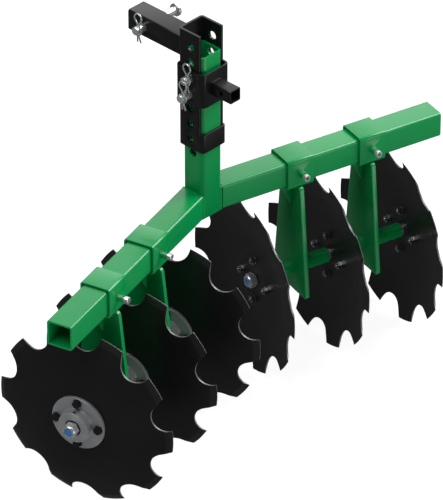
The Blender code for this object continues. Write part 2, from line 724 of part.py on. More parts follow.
# ---------------------------------------------------------------------------
# The whole machine
# ---------------------------------------------------------------------------
def build_hitch(frame):
    """Everything on the mast above the arms."""
    build_bracket(frame)
    build_drawbar(frame)
    build_collar(frame)
    pin_y = BRACKET_SIZE / 2 + MESH_GAP + DRAWBAR_LENGTH - HITCH_PIN_SETBACK
    build_pin("hitch_pin", frame, pin_y, DRAWBAR_Z, DRAWBAR_SIZE / 2,
              HITCH_PIN_TIP, HITCH_PIN_SPARE)
    build_pin("upper_mast_pin", frame, 0.0, UPPER_PIN_Z, COLLAR_SIZE / 2,
              UPPER_PIN_TIP)
    build_pin("lower_mast_pin", frame, 0.0, LOWER_PIN_Z, COLLAR_SIZE / 2,
              LOWER_PIN_TIP)


def build_side(label, side, frame):
    """One arm with its two shanks and its gang.  side is 1 on the right."""
    turn = -SWEEP if side > 0 else math.pi + SWEEP
    rail = add_empty(f"{label}_rail", (0.0, APEX_Y, ARM_HEIGHT), turn, frame)
    build_arm(f"{label}_arm", rail, side)

    carrier = add_empty(f"{label}_carrier", parent=rail)
    for index, word in enumerate(("inner", "outer")):
        station = SHANK_STATIONS[index]
        prefix = f"{label}_{word}"
        build_sleeve(f"{prefix}_clamp_sleeve", carrier, station, side)
        build_set_bolt(f"{prefix}_set_bolt", carrier, station, side)
        build_plate(f"{prefix}_shank_plate", carrier, station, side)
        build_bearing(f"{prefix}_bearing_tube", carrier,
                      BLADE_STATIONS[index], BLADE_STATIONS[index + 1])

    gang = add_empty(f"{label}_gang", (0.0, 0.0, -ARM_OVER_AXLE),
                     parent=carrier)
    build_axle(f"{label}_axle", gang)
    for word, station in zip(("inner", "middle", "outer"), BLADE_STATIONS):
        build_blade(f"{label}_{word}_blade", gang, station, side)
        build_hub(f"{label}_{word}_hub", gang, station)
    build_nut(f"{label}_inner_axle_nut", gang, BLADE_STATIONS[0], -1)
    build_nut(f"{label}_outer_axle_nut", gang, hub_face(BLADE_STATIONS[-1]), 1)


def main():
    """Build the harrow."""
    clear_scene()
    frame = add_empty("frame", (0.0, MAST_Y, 0.0))
    build_mast(frame)
    build_hitch(frame)
    build_side("left", -1, frame)
    build_side("right", 1, frame)
    bpy.context.view_layer.update()


main()
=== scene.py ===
"""Visible model of a small towed disc harrow.

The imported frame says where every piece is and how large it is.  Each piece is
modelled again here with its bevels, threads, beads and finishes, and rides on
the body of the frame that it belongs to.

Units are metres, +X is to the right, +Y is the way the harrow travels and +Z
is up.
"""

from __future__ import annotations

import json
import logging
import math
from collections.abc import Callable, Sequence
from dataclasses import dataclass, field
from enum import Enum

import bmesh
import bpy
from mathutils import Matrix, Vector

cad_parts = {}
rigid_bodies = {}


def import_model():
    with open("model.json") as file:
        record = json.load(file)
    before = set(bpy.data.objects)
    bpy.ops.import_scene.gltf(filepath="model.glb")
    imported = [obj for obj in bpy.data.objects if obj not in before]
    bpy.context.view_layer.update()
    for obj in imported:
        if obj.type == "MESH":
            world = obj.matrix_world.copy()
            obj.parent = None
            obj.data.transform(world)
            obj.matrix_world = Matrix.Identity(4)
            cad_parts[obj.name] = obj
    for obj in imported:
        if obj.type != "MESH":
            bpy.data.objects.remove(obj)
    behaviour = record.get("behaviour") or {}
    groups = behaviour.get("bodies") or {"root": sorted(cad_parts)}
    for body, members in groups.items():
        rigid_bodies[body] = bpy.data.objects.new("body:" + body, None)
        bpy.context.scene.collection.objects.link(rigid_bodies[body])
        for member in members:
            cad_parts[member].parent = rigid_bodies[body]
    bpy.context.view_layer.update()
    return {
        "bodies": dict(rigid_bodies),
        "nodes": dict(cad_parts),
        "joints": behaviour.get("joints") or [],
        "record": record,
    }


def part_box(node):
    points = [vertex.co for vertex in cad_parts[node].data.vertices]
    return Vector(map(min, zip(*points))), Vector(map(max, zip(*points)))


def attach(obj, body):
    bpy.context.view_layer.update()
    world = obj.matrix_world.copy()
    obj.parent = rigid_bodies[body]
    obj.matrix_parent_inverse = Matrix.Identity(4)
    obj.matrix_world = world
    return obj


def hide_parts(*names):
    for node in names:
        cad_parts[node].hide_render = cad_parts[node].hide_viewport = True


LOG = logging.getLogger("disc_harrow")

Colour = tuple[float, float, float]
Profile = Sequence[tuple[float, float]]
Piece = bpy.types.Object


class Element(Enum):
    """What an edit picks."""

    VERT = "verts"
    EDGE = "edges"
    FACE = "faces"


class Axis(Enum):
    """An axis of a piece's own seat, as its number."""

    X = 0
    Y = 1
    Z = 2


class Cut(Enum):
    """How two solids are combined."""

    REMOVE = "DIFFERENCE"
    ADD = "UNION"
    KEEP = "INTERSECT"


class Side(Enum):
    """The two halves of the harrow."""

    LEFT = "left"
    RIGHT = "right"


# Turns a shape made along Z so that it points along its seat's X axis.
ALONG_X = Matrix.Rotation(math.pi / 2, 4, "Y")
# Smallest radius in a turned profile, which stands for a point on its axis.
POLE = 2e-5
# Gap left between two pieces that touch.
GAP = 0.0003
# Angle in degrees above which an edge of a turned or headed piece is crisp.
TURNED_EDGE = 30.0


# ---------------------------------------------------------------------------
# Bench: the tools that every piece is made with
# ---------------------------------------------------------------------------
class Bench:
    """Modelling tools, each a short run of Blender operators."""

    @staticmethod
    def take(*pieces: Piece) -> None:
        """Select some pieces and nothing else, the first one active.

        Args:
            *pieces: the pieces to select.
        """
        if bpy.context.object and bpy.context.object.mode != "OBJECT":
            bpy.ops.object.mode_set(mode="OBJECT")
        bpy.ops.object.select_all(action="DESELECT")
        for piece in pieces:
            piece.select_set(True)
        if pieces:
            bpy.context.view_layer.objects.active = pieces[0]

    @staticmethod
    def christen(name: str) -> Piece:
        """Name the primitive just added and apply its place.

        Args:
            name: the new piece's name.

        Returns:
            The piece, with its object at the origin.
        """
        piece = bpy.context.active_object
        piece.name = name
        piece.data.name = name
        bpy.ops.object.transform_apply(location=True, rotation=True,
                                       scale=True)
        return piece

    @staticmethod
    def block(name: str, low: Sequence[float], high: Sequence[float]) -> Piece:
        """Add a box between two corners.

        Args:
            name: the new piece's name.
            low: its lowest corner.
            high: its highest corner.

        Returns:
            The box.
        """
        Bench.take()
        low, high = Vector(low), Vector(high)
        bpy.ops.mesh.primitive_cube_add(size=1.0, location=(low + high) / 2)
        bpy.context.active_object.scale = high - low
        return Bench.christen(name)

    @staticmethod
    def bar(name: str, radius: float, low: float, high: float,
            steps: int = 48) -> Piece:
        """Add a round bar along Z.

        Args:
            name: the new piece's name.
            radius: its radius.
            low: where it starts.
            high: where it ends.
            steps: number of sides.

        Returns:
            The bar.
        """
        Bench.take()
        bpy.ops.mesh.primitive_cylinder_add(
            vertices=steps, radius=radius, depth=high - low,
            location=(0.0, 0.0, (low + high) / 2))
        return Bench.christen(name)

    @staticmethod
    def pick(piece: Piece, element: Element, test: Callable) -> None:
        """Open a piece for editing with only some elements selected.

        Args:
            piece: the piece to edit.
            element: what to select.
            test: says which elements, given each one.
        """
        Bench.take(piece)
        bpy.ops.object.mode_set(mode="EDIT")
        bpy.ops.mesh.select_mode(type=element.name)
        bpy.ops.mesh.select_all(action="DESELECT")
        mesh = bmesh.from_edit_mesh(piece.data)
        for item in getattr(mesh, element.value):
            item.select = bool(test(item))
        mesh.select_flush_mode()
        bmesh.update_edit_mesh(piece.data)

    @staticmethod
    def done() -> None:
        """Close the edit."""
        bpy.ops.object.mode_set(mode="OBJECT")

    @staticmethod
    def modify(piece: Piece, kind: str, **settings: object) -> Piece:
        """Add one modifier and apply it.

        Args:
            piece: the piece to work on.
            kind: the modifier's type.
            **settings: its values.

        Returns:
            The same piece.
        """
        Bench.take(piece)
        step = piece.modifiers.new(kind.lower(), kind)
        for key, value in settings.items():
            setattr(step, key, value)
        bpy.ops.object.modifier_apply(modifier=step.name)
        return piece

    @staticmethod
    def combine(piece: Piece, other: Piece, cut: Cut) -> Piece:
        """Combine a piece with another, which is used up.

        Args:
            piece: the piece that is kept.
            other: the cutter or the added solid.
            cut: how they are combined.

        Returns:
            The kept piece.
        """
        Bench.modify(piece, "BOOLEAN", object=other, operation=cut.value,
                     solver="EXACT")
        bpy.data.objects.remove(other, do_unlink=True)
        return piece

    @staticmethod
    def soften(piece: Piece, width: float, segments: int = 2,
               angle: float = 40.0, clamp: bool = True) -> Piece:
        """Bevel every edge sharper than an angle.

        Args:
            piece: the piece to work on.
            width: width of the bevel.
            segments: its number of steps.
            angle: the angle in degrees.
            clamp: whether the bevel stops where it would meet another.

        Returns:
            The same piece.
        """
        return Bench.modify(piece, "BEVEL", width=width, segments=segments,
                            limit_method="ANGLE",
                            angle_limit=math.radians(angle),
                            use_clamp_overlap=clamp)

    @staticmethod
    def shade(piece: Piece, angle: float = 32.0) -> Piece:
        """Shade a piece smooth except across its sharp edges.

        Args:
            piece: the piece to work on.
            angle: edges sharper than this, in degrees, stay crisp.

        Returns:
            The same piece.
        """
        Bench.take(piece)
        bpy.ops.object.shade_smooth_by_angle(angle=math.radians(angle))
        return piece

    @staticmethod
    def tidy(piece: Piece, gap: float = 1e-5) -> Piece:
        """Merge doubles and point every face outwards.

        Args:
            piece: the piece to work on.
            gap: vertices closer than this are merged.

        Returns:
            The same piece.
        """
        Bench.pick(piece, Element.VERT, lambda vert: True)
        bpy.ops.mesh.remove_doubles(threshold=gap)
        bpy.ops.mesh.select_all(action="SELECT")
        bpy.ops.mesh.normals_make_consistent(inside=False)
        Bench.done()
        return piece

    @staticmethod
    def lathe(name: str, profile: Profile, steps: int = 64) -> Piece:
        """Turn a profile about Z, one extruded ring after another.

        A profile that ends where it starts gives a ring.  One whose ends are
        at radius 0 gives a solid.

        Args:
            name: the new piece's name.
            profile: (along, radius) points.
            steps: number of sides.

        Returns:
            The turned piece.
        """
        Bench.take()
        along, radius = profile[0][0], max(profile[0][1], POLE)
        bpy.ops.mesh.primitive_circle_add(vertices=steps, radius=radius,
                                          location=(0.0, 0.0, along))
        piece = Bench.christen(name)
        Bench.pick(piece, Element.EDGE, lambda edge: True)
        for there, reach in profile[1:]:
            reach = max(reach, POLE)
            bpy.ops.mesh.extrude_region_move(
                TRANSFORM_OT_translate={"value": (0.0, 0.0, there - along)})
            ratio = reach / radius
            bpy.ops.transform.resize(value=(ratio, ratio, 1.0),
                                     center_override=(0.0, 0.0, there))
            along, radius = there, reach
        Bench.done()
        return Bench.tidy(piece, 3 * POLE)

    @staticmethod
    def box_tube(name: str, low: Sequence[float], high: Sequence[float],
                 axis: Axis, wall: float, corner: float,
                 segments: int = 8) -> Piece:
        """Make a square tube with round corners and open ends.

        Args:
            name: the new piece's name.
            low: its lowest corner.
            high: its highest corner.
            axis: which way it runs.
            wall: its wall thickness.
            corner: its outer corner radius.
            segments: number of steps in each corner.

        Returns:
            The tube.
        """
        tube = Bench.block(name, low, high)
        run = axis.value
        Bench.pick(tube, Element.EDGE, lambda edge: abs(
            (edge.verts[0].co - edge.verts[1].co).normalized()[run]) > 0.99)
        bpy.ops.mesh.bevel(offset=corner, segments=segments, affect="EDGES")
        Bench.pick(tube, Element.FACE,
                   lambda face: abs(face.normal[run]) > 0.99)
        bpy.ops.mesh.delete(type="FACE")
        Bench.done()
        return Bench.modify(tube, "SOLIDIFY", thickness=wall, offset=-1.0,
                            use_even_offset=True)

    @staticmethod
    def hexagon(name: str, flats: float, low: float, high: float,
                chamfer: float = 0.0012) -> Piece:
        """Make a bar with six flats and turned-off corners along Z.

        Args:
            name: the new piece's name.
            flats: size across the flats.
            low: where it starts.
            high: where it ends.
            chamfer: how far down the corners are turned off.

        Returns:
            The bar.
        """
        piece = Bench.bar(name, flats / math.sqrt(3), low, high, 6)
        face, past = flats / 2 - 0.0002, flats / 2 + 2.2 * chamfer
        body = Bench.lathe("turned", [(low, 0.0), (low, face),
                                      (low + chamfer, past),
                                      (high - chamfer, past), (high, face),
                                      (high, 0.0)], 48)
        return Bench.combine(piece, body, Cut.KEEP)

    @staticmethod
    def drill(piece: Piece, places: Sequence[Vector], turn: Matrix,
              diameter: float, reach: float, steps: int = 40) -> Piece:
        """Cut round holes right through a piece.

        Args:
            piece: the piece to work on.
            places: the middle of each hole.
            turn: points a bar along Z down the holes.
            diameter: their diameter.
            reach: length of each cut.
            steps: number of sides of each hole.

        Returns:
            The same piece.
        """
        for place in places:
            bit = Bench.bar("bit", diameter / 2, -reach / 2, reach / 2, steps)
            Bench.move(bit, Matrix.Translation(place) @ turn)
            Bench.combine(piece, bit, Cut.REMOVE)
        return piece

    @staticmethod
    def wire(name: str, route: Sequence[Vector], radius: float,
             closed: bool = False, sides: int = 2,
             swell: Callable[[int], float] | None = None) -> Piece:
        """Make a round wire along a route.

        Args:
            name: the new piece's name.
            route: points along its middle.
            radius: its radius.
            closed: whether it meets its own start.
            sides: roundness of its section.
            swell: gives the share of the radius at each point.

        Returns:
            The wire, as a mesh.
        """
        Bench.take()
        curve = bpy.data.curves.new(name, "CURVE")
        curve.dimensions = "3D"
        curve.bevel_depth = radius
        curve.bevel_resolution = sides
        curve.use_fill_caps = not closed
        line = curve.splines.new("POLY")
        line.points.add(len(route) - 1)
        for index, (point, place) in enumerate(zip(line.points, route)):
            point.co = (*place, 1.0)
            point.radius = swell(index) if swell else 1.0
        line.use_cyclic_u = closed
        piece = bpy.data.objects.new(name, curve)
        bpy.context.scene.collection.objects.link(piece)
        Bench.take(piece)
        bpy.ops.object.convert(target="MESH")
        return Bench.shade(Bench.tidy(bpy.context.active_object), 50.0)

    @staticmethod
    def move(piece: Piece, matrix: Matrix) -> Piece:
        """Put a mesh in its place and leave its object at the origin.

        Args:
            piece: the piece to move.
            matrix: where it goes; a mirrored one keeps the faces outwards.

        Returns:
            The same piece.
        """
        piece.data.transform(matrix)
        if matrix.determinant() < 0:
            piece.data.flip_normals()
        piece.data.update()
        return piece

    @staticmethod
    def stamp(master: Piece, name: str, matrix: Matrix) -> Piece:
        """Copy a finished piece, mesh and all, to another place.

        Args:
            master: the piece to copy.
            name: the copy's name.
            matrix: where the copy goes.

        Returns:
            The copy.
        """
        piece = master.copy()
        piece.data = master.data.copy()
        piece.name = name
        piece.data.name = name
        bpy.context.scene.collection.objects.link(piece)
        return Bench.move(piece, matrix)

    @staticmethod
    def discard(*masters: Piece) -> None:
        """Remove the pieces that copies were made from."""
        for master in masters:
            bpy.data.objects.remove(master, do_unlink=True)


# ---------------------------------------------------------------------------
# Finishes
# ---------------------------------------------------------------------------
class NodeSheet:
    """A node tree with short ways to add and join nodes."""

    def __init__(self, tree: bpy.types.NodeTree) -> None:
        """Keep the tree to draw on."""
        self.tree = tree

    def add(self, kind: str, values: dict[str | int, object] | None = None,
            **settings: object) -> bpy.types.Node:
        """Add a node.

        Args:
            kind: its type, without the ShaderNode part.
            values: a number, colour or output socket for each input.
            **settings: the node's own properties.

        Returns:
            The node.
        """
        node = self.tree.nodes.new(f"ShaderNode{kind}")
        for key, value in settings.items():
            setattr(node, key, value)
        for key, value in (values or {}).items():
            if isinstance(value, bpy.types.NodeSocket):
                self.tree.links.new(value, node.inputs[key])
            else:
                node.inputs[key].default_value = value
        return node

    def math(self, what: str, first: object, second: object = 0.0,
             clamp: bool = False) -> bpy.types.NodeSocket:
        """Add one sum.

        Args:
            what: the operation.
            first: its first value.
            second: its second value.
            clamp: whether the result stays between 0 and 1.

        Returns:
            The result's socket.
        """
        return self.add("Math", {0: first, 1: second}, operation=what,
                        use_clamp=clamp).outputs[0]


class SharedEffects:
    """Node groups that several finishes use, each built once."""

    def __init__(self) -> None:
        """Build every group."""
        self.grain = self._grain()
        self.drift = self._drift()
        self.turning = self._turning()
        self.scuffs = self._scuffs()

    @staticmethod
    def _group(name: str, inputs: Sequence[tuple[str, str, object]],
               outputs: Sequence[tuple[str, str]]
               ) -> tuple[bpy.types.NodeTree, NodeSheet, bpy.types.Node,
                          bpy.types.Node]:
        """Start a group with named sockets.

        Args:
            name: the group's name.
            inputs: name, type and value of each input.
            outputs: name and type of each output.

        Returns:
            The group, a sheet to draw on, its input and its output node.
        """
        tree = bpy.data.node_groups.new(name, "ShaderNodeTree")
        for label, kind, value in inputs:
            socket = tree.interface.new_socket(
                name=label, in_out="INPUT", socket_type=f"NodeSocket{kind}")
            if value is not None:
                socket.default_value = value
        for label, kind in outputs:
            tree.interface.new_socket(
                name=label, in_out="OUTPUT", socket_type=f"NodeSocket{kind}")
        return (tree, NodeSheet(tree), tree.nodes.new("NodeGroupInput"),
                tree.nodes.new("NodeGroupOutput"))

    def _grain(self) -> bpy.types.NodeTree:
        """Build the fine unevenness of sprayed or plated metal."""
        tree, sheet, start, end = self._group(
            "fine_grain",
            [("Vector", "Vector", None), ("Scale", "Float", 400.0)],
            [("Height", "Float"), ("Tone", "Float")])
        coarse = sheet.add("TexNoise", {"Vector": start.outputs[0],
                                        "Scale": start.outputs[1],
                                        "Detail": 2.0, "Roughness": 0.5})
        fine_scale = sheet.math("MULTIPLY", start.outputs[1], 3.7)
        fine = sheet.add("TexNoise", {"Vector": start.outputs[0],
                                      "Scale": fine_scale, "Detail": 1.0})
        mixed = sheet.math("ADD",
                           sheet.math("MULTIPLY", coarse.outputs[0], 0.7),
                           sheet.math("MULTIPLY", fine.outputs[0], 0.3))
        tree.links.new(mixed, end.inputs[0])
        tree.links.new(coarse.outputs[0], end.inputs[1])
        return tree

    def _drift(self) -> bpy.types.NodeTree:
        """Build the slow change of tone across a painted surface."""
        tree, sheet, start, end = self._group(
            "tone_drift",
            [("Vector", "Vector", None), ("Scale", "Float", 9.0),
             ("Main", "Color", (0.5, 0.5, 0.5, 1.0)),
             ("Second", "Color", (0.4, 0.4, 0.4, 1.0))],
            [("Colour", "Color"), ("Tone", "Float")])
        cloud = sheet.add("TexNoise", {"Vector": start.outputs[0],
                                       "Scale": start.outputs[1],
                                       "Detail": 4.0, "Roughness": 0.55})
        share = sheet.add("MapRange", {0: cloud.outputs[0], 1: 0.35, 2: 0.68})
        mixed = sheet.add("Mix", {0: share.outputs[0], 6: start.outputs[2],
                                  7: start.outputs[3]}, data_type="RGBA")
        tree.links.new(mixed.outputs[2], end.inputs[0])
        tree.links.new(cloud.outputs[0], end.inputs[1])
        return tree

    def _turning(self) -> bpy.types.NodeTree:
        """Build the rings that a lathe or a roller leaves about local X."""
        tree, sheet, start, end = self._group(
            "turning_rings",
            [("Vector", "Vector", None), ("Rings", "Float", 900.0)],
            [("Height", "Float"), ("Tone", "Float")])
        parts = sheet.add("SeparateXYZ", {0: start.outputs[0]})
        flat = sheet.add("CombineXYZ", {1: parts.outputs[1],
                                        2: parts.outputs[2]})
        reach = sheet.add("VectorMath", {0: flat.outputs[0]},
                          operation="LENGTH")
        level = sheet.math("MULTIPLY", parts.outputs[0], 0.35)
        path = sheet.math("ADD", reach.outputs["Value"], level)
        rings = sheet.add("TexNoise", {"W": path, "Scale": start.outputs[1],
                                       "Detail": 2.0}, noise_dimensions="1D")
        tree.links.new(rings.outputs[0], end.inputs[0])
        wide = sheet.add("TexNoise", {
            "W": path, "Scale": sheet.math("MULTIPLY", start.outputs[1], 0.12),
            "Detail": 3.0}, noise_dimensions="1D")
        tree.links.new(wide.outputs[0], end.inputs[1])
        return tree

    def _scuffs(self) -> bpy.types.NodeTree:
        """Build a mask of fine hairline marks in two directions."""
        tree, sheet, start, end = self._group(
            "hairline_marks",
            [("Vector", "Vector", None), ("Scale", "Float", 30.0)],
            [("Mask", "Float")])
        marks = []
        for stretch in ((1.0, 26.0, 3.0), (24.0, 1.5, 1.0)):
            moved = sheet.add("Mapping", {"Vector": start.outputs[0],
                                          "Scale": stretch})
            lines = sheet.add("TexNoise", {"Vector": moved.outputs[0],
                                           "Scale": start.outputs[1],
                                           "Detail": 3.0,
                                           "Roughness": 0.7})
            sharp = sheet.add("MapRange", {0: lines.outputs[0], 1: 0.63,
                                           2: 0.72})
            marks.append(sharp.outputs[0])
        tree.links.new(sheet.math("MAXIMUM", *marks), end.inputs[0])
        return tree


@dataclass(frozen=True)
class Finish:
    """One surface finish, as a painter or plater would order it."""

    name: str
    slot: str
    colour: Colour
    second: Colour
    roughness: tuple[float, float]
    metallic: float = 0.0
    specular: float = 0.5
    coat: float = 0.0
    coat_roughness: float = 0.08
    grain: float = 500.0
    relief: float = 0.15
    drift: float = 9.0
    rings: float = 0.0
    scuffs: float = 0.0


class Paint(Enum):
    """Every finish on the harrow."""

    GREEN = Finish("green_powder_coat", "green_paint", (0.000, 0.232, 0.056),
                   (0.000, 0.208, 0.049), (0.20, 0.27), grain=420.0,
                   relief=0.02, scuffs=0.06)
    BLACK = Finish("black_powder_coat", "black_paint",
                   (0.0040, 0.0040, 0.0043), (0.0058, 0.0058, 0.0062),
                   (0.26, 0.36), specular=0.40, grain=700.0, relief=0.10,
                   scuffs=0.25)
    BLADE = Finish("blade_black", "blade_coat", (0.0040, 0.0040, 0.0042),
                   (0.0060, 0.0058, 0.0058), (0.30, 0.42), specular=0.40,
                   grain=500.0, relief=0.06, rings=260.0, scuffs=0.25)
    # Ground bevel band on the tooth rims: a touch lighter than the coat, partly
    # for wear and partly as a painted highlight where light catches the bevel.
    BLADE_BEVEL = Finish("blade_bevel", "blade_coat", (0.0060, 0.0058, 0.0058),
                         (0.0100, 0.0098, 0.0096), (0.22, 0.32),
                         specular=0.60, grain=800.0, relief=0.08, rings=900.0)
    BLADE_CUT = Finish("blade_cut_edge", "blade_coat", (0.15, 0.15, 0.15),
                       (0.10, 0.10, 0.10), (0.36, 0.48), metallic=0.40,
                       grain=1500.0, relief=0.12, drift=40.0)
    CASTING = Finish("hub_casting", "grey_casting", (0.325, 0.334, 0.344),
                     (0.288, 0.297, 0.306), (0.32, 0.42), metallic=0.53,
                     grain=900.0, relief=0.08, drift=25.0, rings=1500.0)
    ZINC = Finish("zinc_plate", "zinc_plate", (0.74, 0.75, 0.76),
                  (0.60, 0.61, 0.62), (0.20, 0.32), metallic=0.80,
                  grain=1200.0, relief=0.05, drift=60.0)
    STEEL = Finish("bright_steel", "zinc_plate", (0.40, 0.40, 0.41),
                   (0.30, 0.30, 0.31), (0.24, 0.34), metallic=1.0,
                   grain=1400.0, relief=0.05, drift=70.0)
    BLACK_BOLT = Finish("black_oxide", "black_paint", (0.010, 0.010, 0.011),
                        (0.018, 0.018, 0.019), (0.34, 0.48), metallic=0.4,
                        specular=0.2, grain=1400.0, relief=0.08, drift=80.0)
    NYLON = Finish("blue_nylon", "zinc_plate", (0.020, 0.110, 0.330),
                   (0.028, 0.140, 0.400), (0.35, 0.45), specular=0.5,
                   grain=1500.0, relief=0.05, drift=90.0)
    # Dull near-black for the hub's set screw: painted shade in the barrel's
    # hole.
    SHADOW = Finish("dark_socket", "black_paint", (0.004, 0.004, 0.004),
                    (0.006, 0.006, 0.006), (0.60, 0.70), specular=0.1,
                    grain=900.0, relief=0.05)


class PaintShop:
    """Turns finishes into materials and puts them on pieces."""

    def __init__(self) -> None:
        """Build the shared effects and start with no materials."""
        self.effects = SharedEffects()
        self.made: dict[tuple[str, str], bpy.types.Material] = {}

    def material(self, paint: Paint,
                 seat: Matrix | None = None) -> bpy.types.Material:
        """Give a finish's material, building it the first time.

        Args:
            paint: the finish.
            seat: the axle seat that its turning rings are centred on.

        Returns:
            The material.
        """
        finish = paint.value
        key = (finish.name, "" if seat is None or not finish.rings
               else ("_right" if seat.col[0].x > 0 else "_left"))
        if key not in self.made:
            self.made[key] = self._build(finish, "".join(key), seat)
        return self.made[key]

    def _build(self, finish: Finish, name: str,
               seat: Matrix | None) -> bpy.types.Material:
        """Draw a finish's nodes.

        Args:
            finish: the finish.
            name: the material's name.
            seat: the axle seat for its rings.

        Returns:
            The new material.
        """
        material = bpy.data.materials.new(name)
        material.use_nodes = True
        sheet = NodeSheet(material.node_tree)
        shader = material.node_tree.nodes["Principled BSDF"]
        place = sheet.add("TexCoord").outputs["Object"]

        def group(tree: bpy.types.NodeTree,
                  values: dict[str, object]) -> bpy.types.Node:
            """Put one shared effect in this material.

            Args:
                tree: the effect's node group.
                values: a value or a socket for each of its inputs.

            Returns:
                The group's node.
            """
            node = sheet.add("Group", node_tree=tree)
            for key, value in values.items():
                if isinstance(value, bpy.types.NodeSocket):
                    sheet.tree.links.new(value, node.inputs[key])
                else:
                    node.inputs[key].default_value = value
            return node

        drift = group(self.effects.drift, {
            "Vector": place, "Scale": finish.drift,
            "Main": (*finish.colour, 1.0), "Second": (*finish.second, 1.0)})
        grain = group(self.effects.grain, {"Vector": place,
                                           "Scale": finish.grain})
        colour, height = drift.outputs["Colour"], grain.outputs["Height"]
        tone = sheet.math("MULTIPLY", sheet.math(
            "ADD", drift.outputs["Tone"], grain.outputs["Tone"]), 0.5)
        if finish.rings and seat is not None:
            if seat.determinant() < 0:
                seat = seat @ Matrix.Scale(-1.0, 4, (0.0, 1.0, 0.0))
            own = seat.inverted()
            centred = sheet.add("Mapping", {
                "Vector": place, "Location": own.translation,
                "Rotation": own.to_euler()})
            rings = group(self.effects.turning, {
                "Vector": centred.outputs[0], "Rings": finish.rings})
            height = sheet.math("ADD", height, rings.outputs["Height"])
            tone = sheet.math("MULTIPLY", sheet.math(
                "ADD", tone, rings.outputs["Tone"]), 0.5)
        if finish.scuffs:
            marks = group(self.effects.scuffs, {"Vector": place,
                                                "Scale": 22.0})
            share = sheet.math("MULTIPLY", marks.outputs["Mask"],
                               finish.scuffs)
            tone = sheet.math("ADD", tone, share, clamp=True)
        roughness = sheet.add("MapRange", {
            0: tone, 1: 0.3, 2: 0.7, 3: finish.roughness[0],
            4: finish.roughness[1]})
        bump = sheet.add("Bump", {"Height": height, "Distance": 0.0004,
                                  "Strength": finish.relief})
        links = material.node_tree.links
        links.new(colour, shader.inputs["Base Color"])
        links.new(roughness.outputs[0], shader.inputs["Roughness"])
        links.new(bump.outputs[0], shader.inputs["Normal"])
        shader.inputs["Metallic"].default_value = finish.metallic
        shader.inputs["Specular IOR Level"].default_value = finish.specular
        shader.inputs["Coat Weight"].default_value = finish.coat
        shader.inputs["Coat Roughness"].default_value = finish.coat_roughness
        return material

    def coat(self, piece: Piece, *paints: Paint,
             seat: Matrix | None = None) -> Piece:
        """Give a piece its materials, in slot order.

        Args:
            piece: the piece to finish.
            *paints: one finish for each slot.
            seat: the axle seat for turning rings.

        Returns:
            The same piece.
        """
        while len(piece.data.materials) < len(paints):
            piece.data.materials.append(None)
        for index, paint in enumerate(paints):
            piece.data.materials[index] = self.material(paint, seat)
        return piece


# ---------------------------------------------------------------------------
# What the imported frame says
# ---------------------------------------------------------------------------
class Guide:
    """Sizes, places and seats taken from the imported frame."""

    def __init__(self, frame: dict) -> None:
        """Read the nodes and joints.
        """
        self.nodes = frame["nodes"]
        self.joints = {joint["name"]: joint for joint in frame["joints"]}
        low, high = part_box("mast")
        self.mast_y = (low.y + high.y) / 2
        low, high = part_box("left_arm")
        self.arm_z = (low.z + high.z) / 2

    def axle_seat(self, side: Side) -> Matrix:
        """Give the seat of one gang: X outward along the axle, Y forward.

        Args:
            side: which gang.

        Returns:
            The seat, mirrored on the left.
        """
        out = Vector(self.joints[f"{side.value}_gang_slide"]["axis"])
        out.normalize()
        ahead = Vector((-out.y, out.x, 0.0)) * math.copysign(1.0, out.x)
        seat = Matrix.Identity(4)
        seat.col[0].xyz, seat.col[1].xyz = out, ahead
        seat.translation = self.joints[f"{side.value}_gang_spin"]["pos_m"]
        return seat

    def arm_seat(self, side: Side) -> Matrix:
        """Give the seat of one arm, right above its axle's seat.

        Args:
            side: which arm.

        Returns:
            The seat, out along the arm and ahead across it.
        """
        seat = self.axle_seat(side)
        seat.translation.z = self.arm_z
        return seat

    def extent(self, node: str, seat: Matrix | None = None
               ) -> tuple[Vector, Vector]:
        """Measure a node in a seat's own axes.

        Args:
            node: the node's name.
            seat: the seat, or none for the machine's axes.

        Returns:
            Its lowest and highest corner.
        """
        own = (seat or Matrix.Identity(4)).inverted()
        points = [own @ vert.co for vert in self.nodes[node].data.vertices]
        return (Vector(map(min, zip(*points))), Vector(map(max, zip(*points))))


class Yard:
    """Hands finished pieces over to the frame."""

    def __init__(self, shop: PaintShop) -> None:
        """Keep the paint shop and count the pieces."""
        self.shop = shop
        self.count = 0

    def deliver(self, piece: Piece, body: str, *paints: Paint,
                node: str | None = None, seat: Matrix | None = None) -> None:
        """Finish a piece and let it ride.

        Args:
            piece: the piece.
            body: the body it rides on.
            *paints: its finishes, in slot order.
            node: the frame's node that it stands for.
            seat: the axle seat for turning rings.
        """
        self.shop.coat(piece, *paints, seat=seat)
        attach(piece, body)
        if node:
            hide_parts(node)
        self.count += 1
        LOG.info("%s rides on %s", piece.name, body)


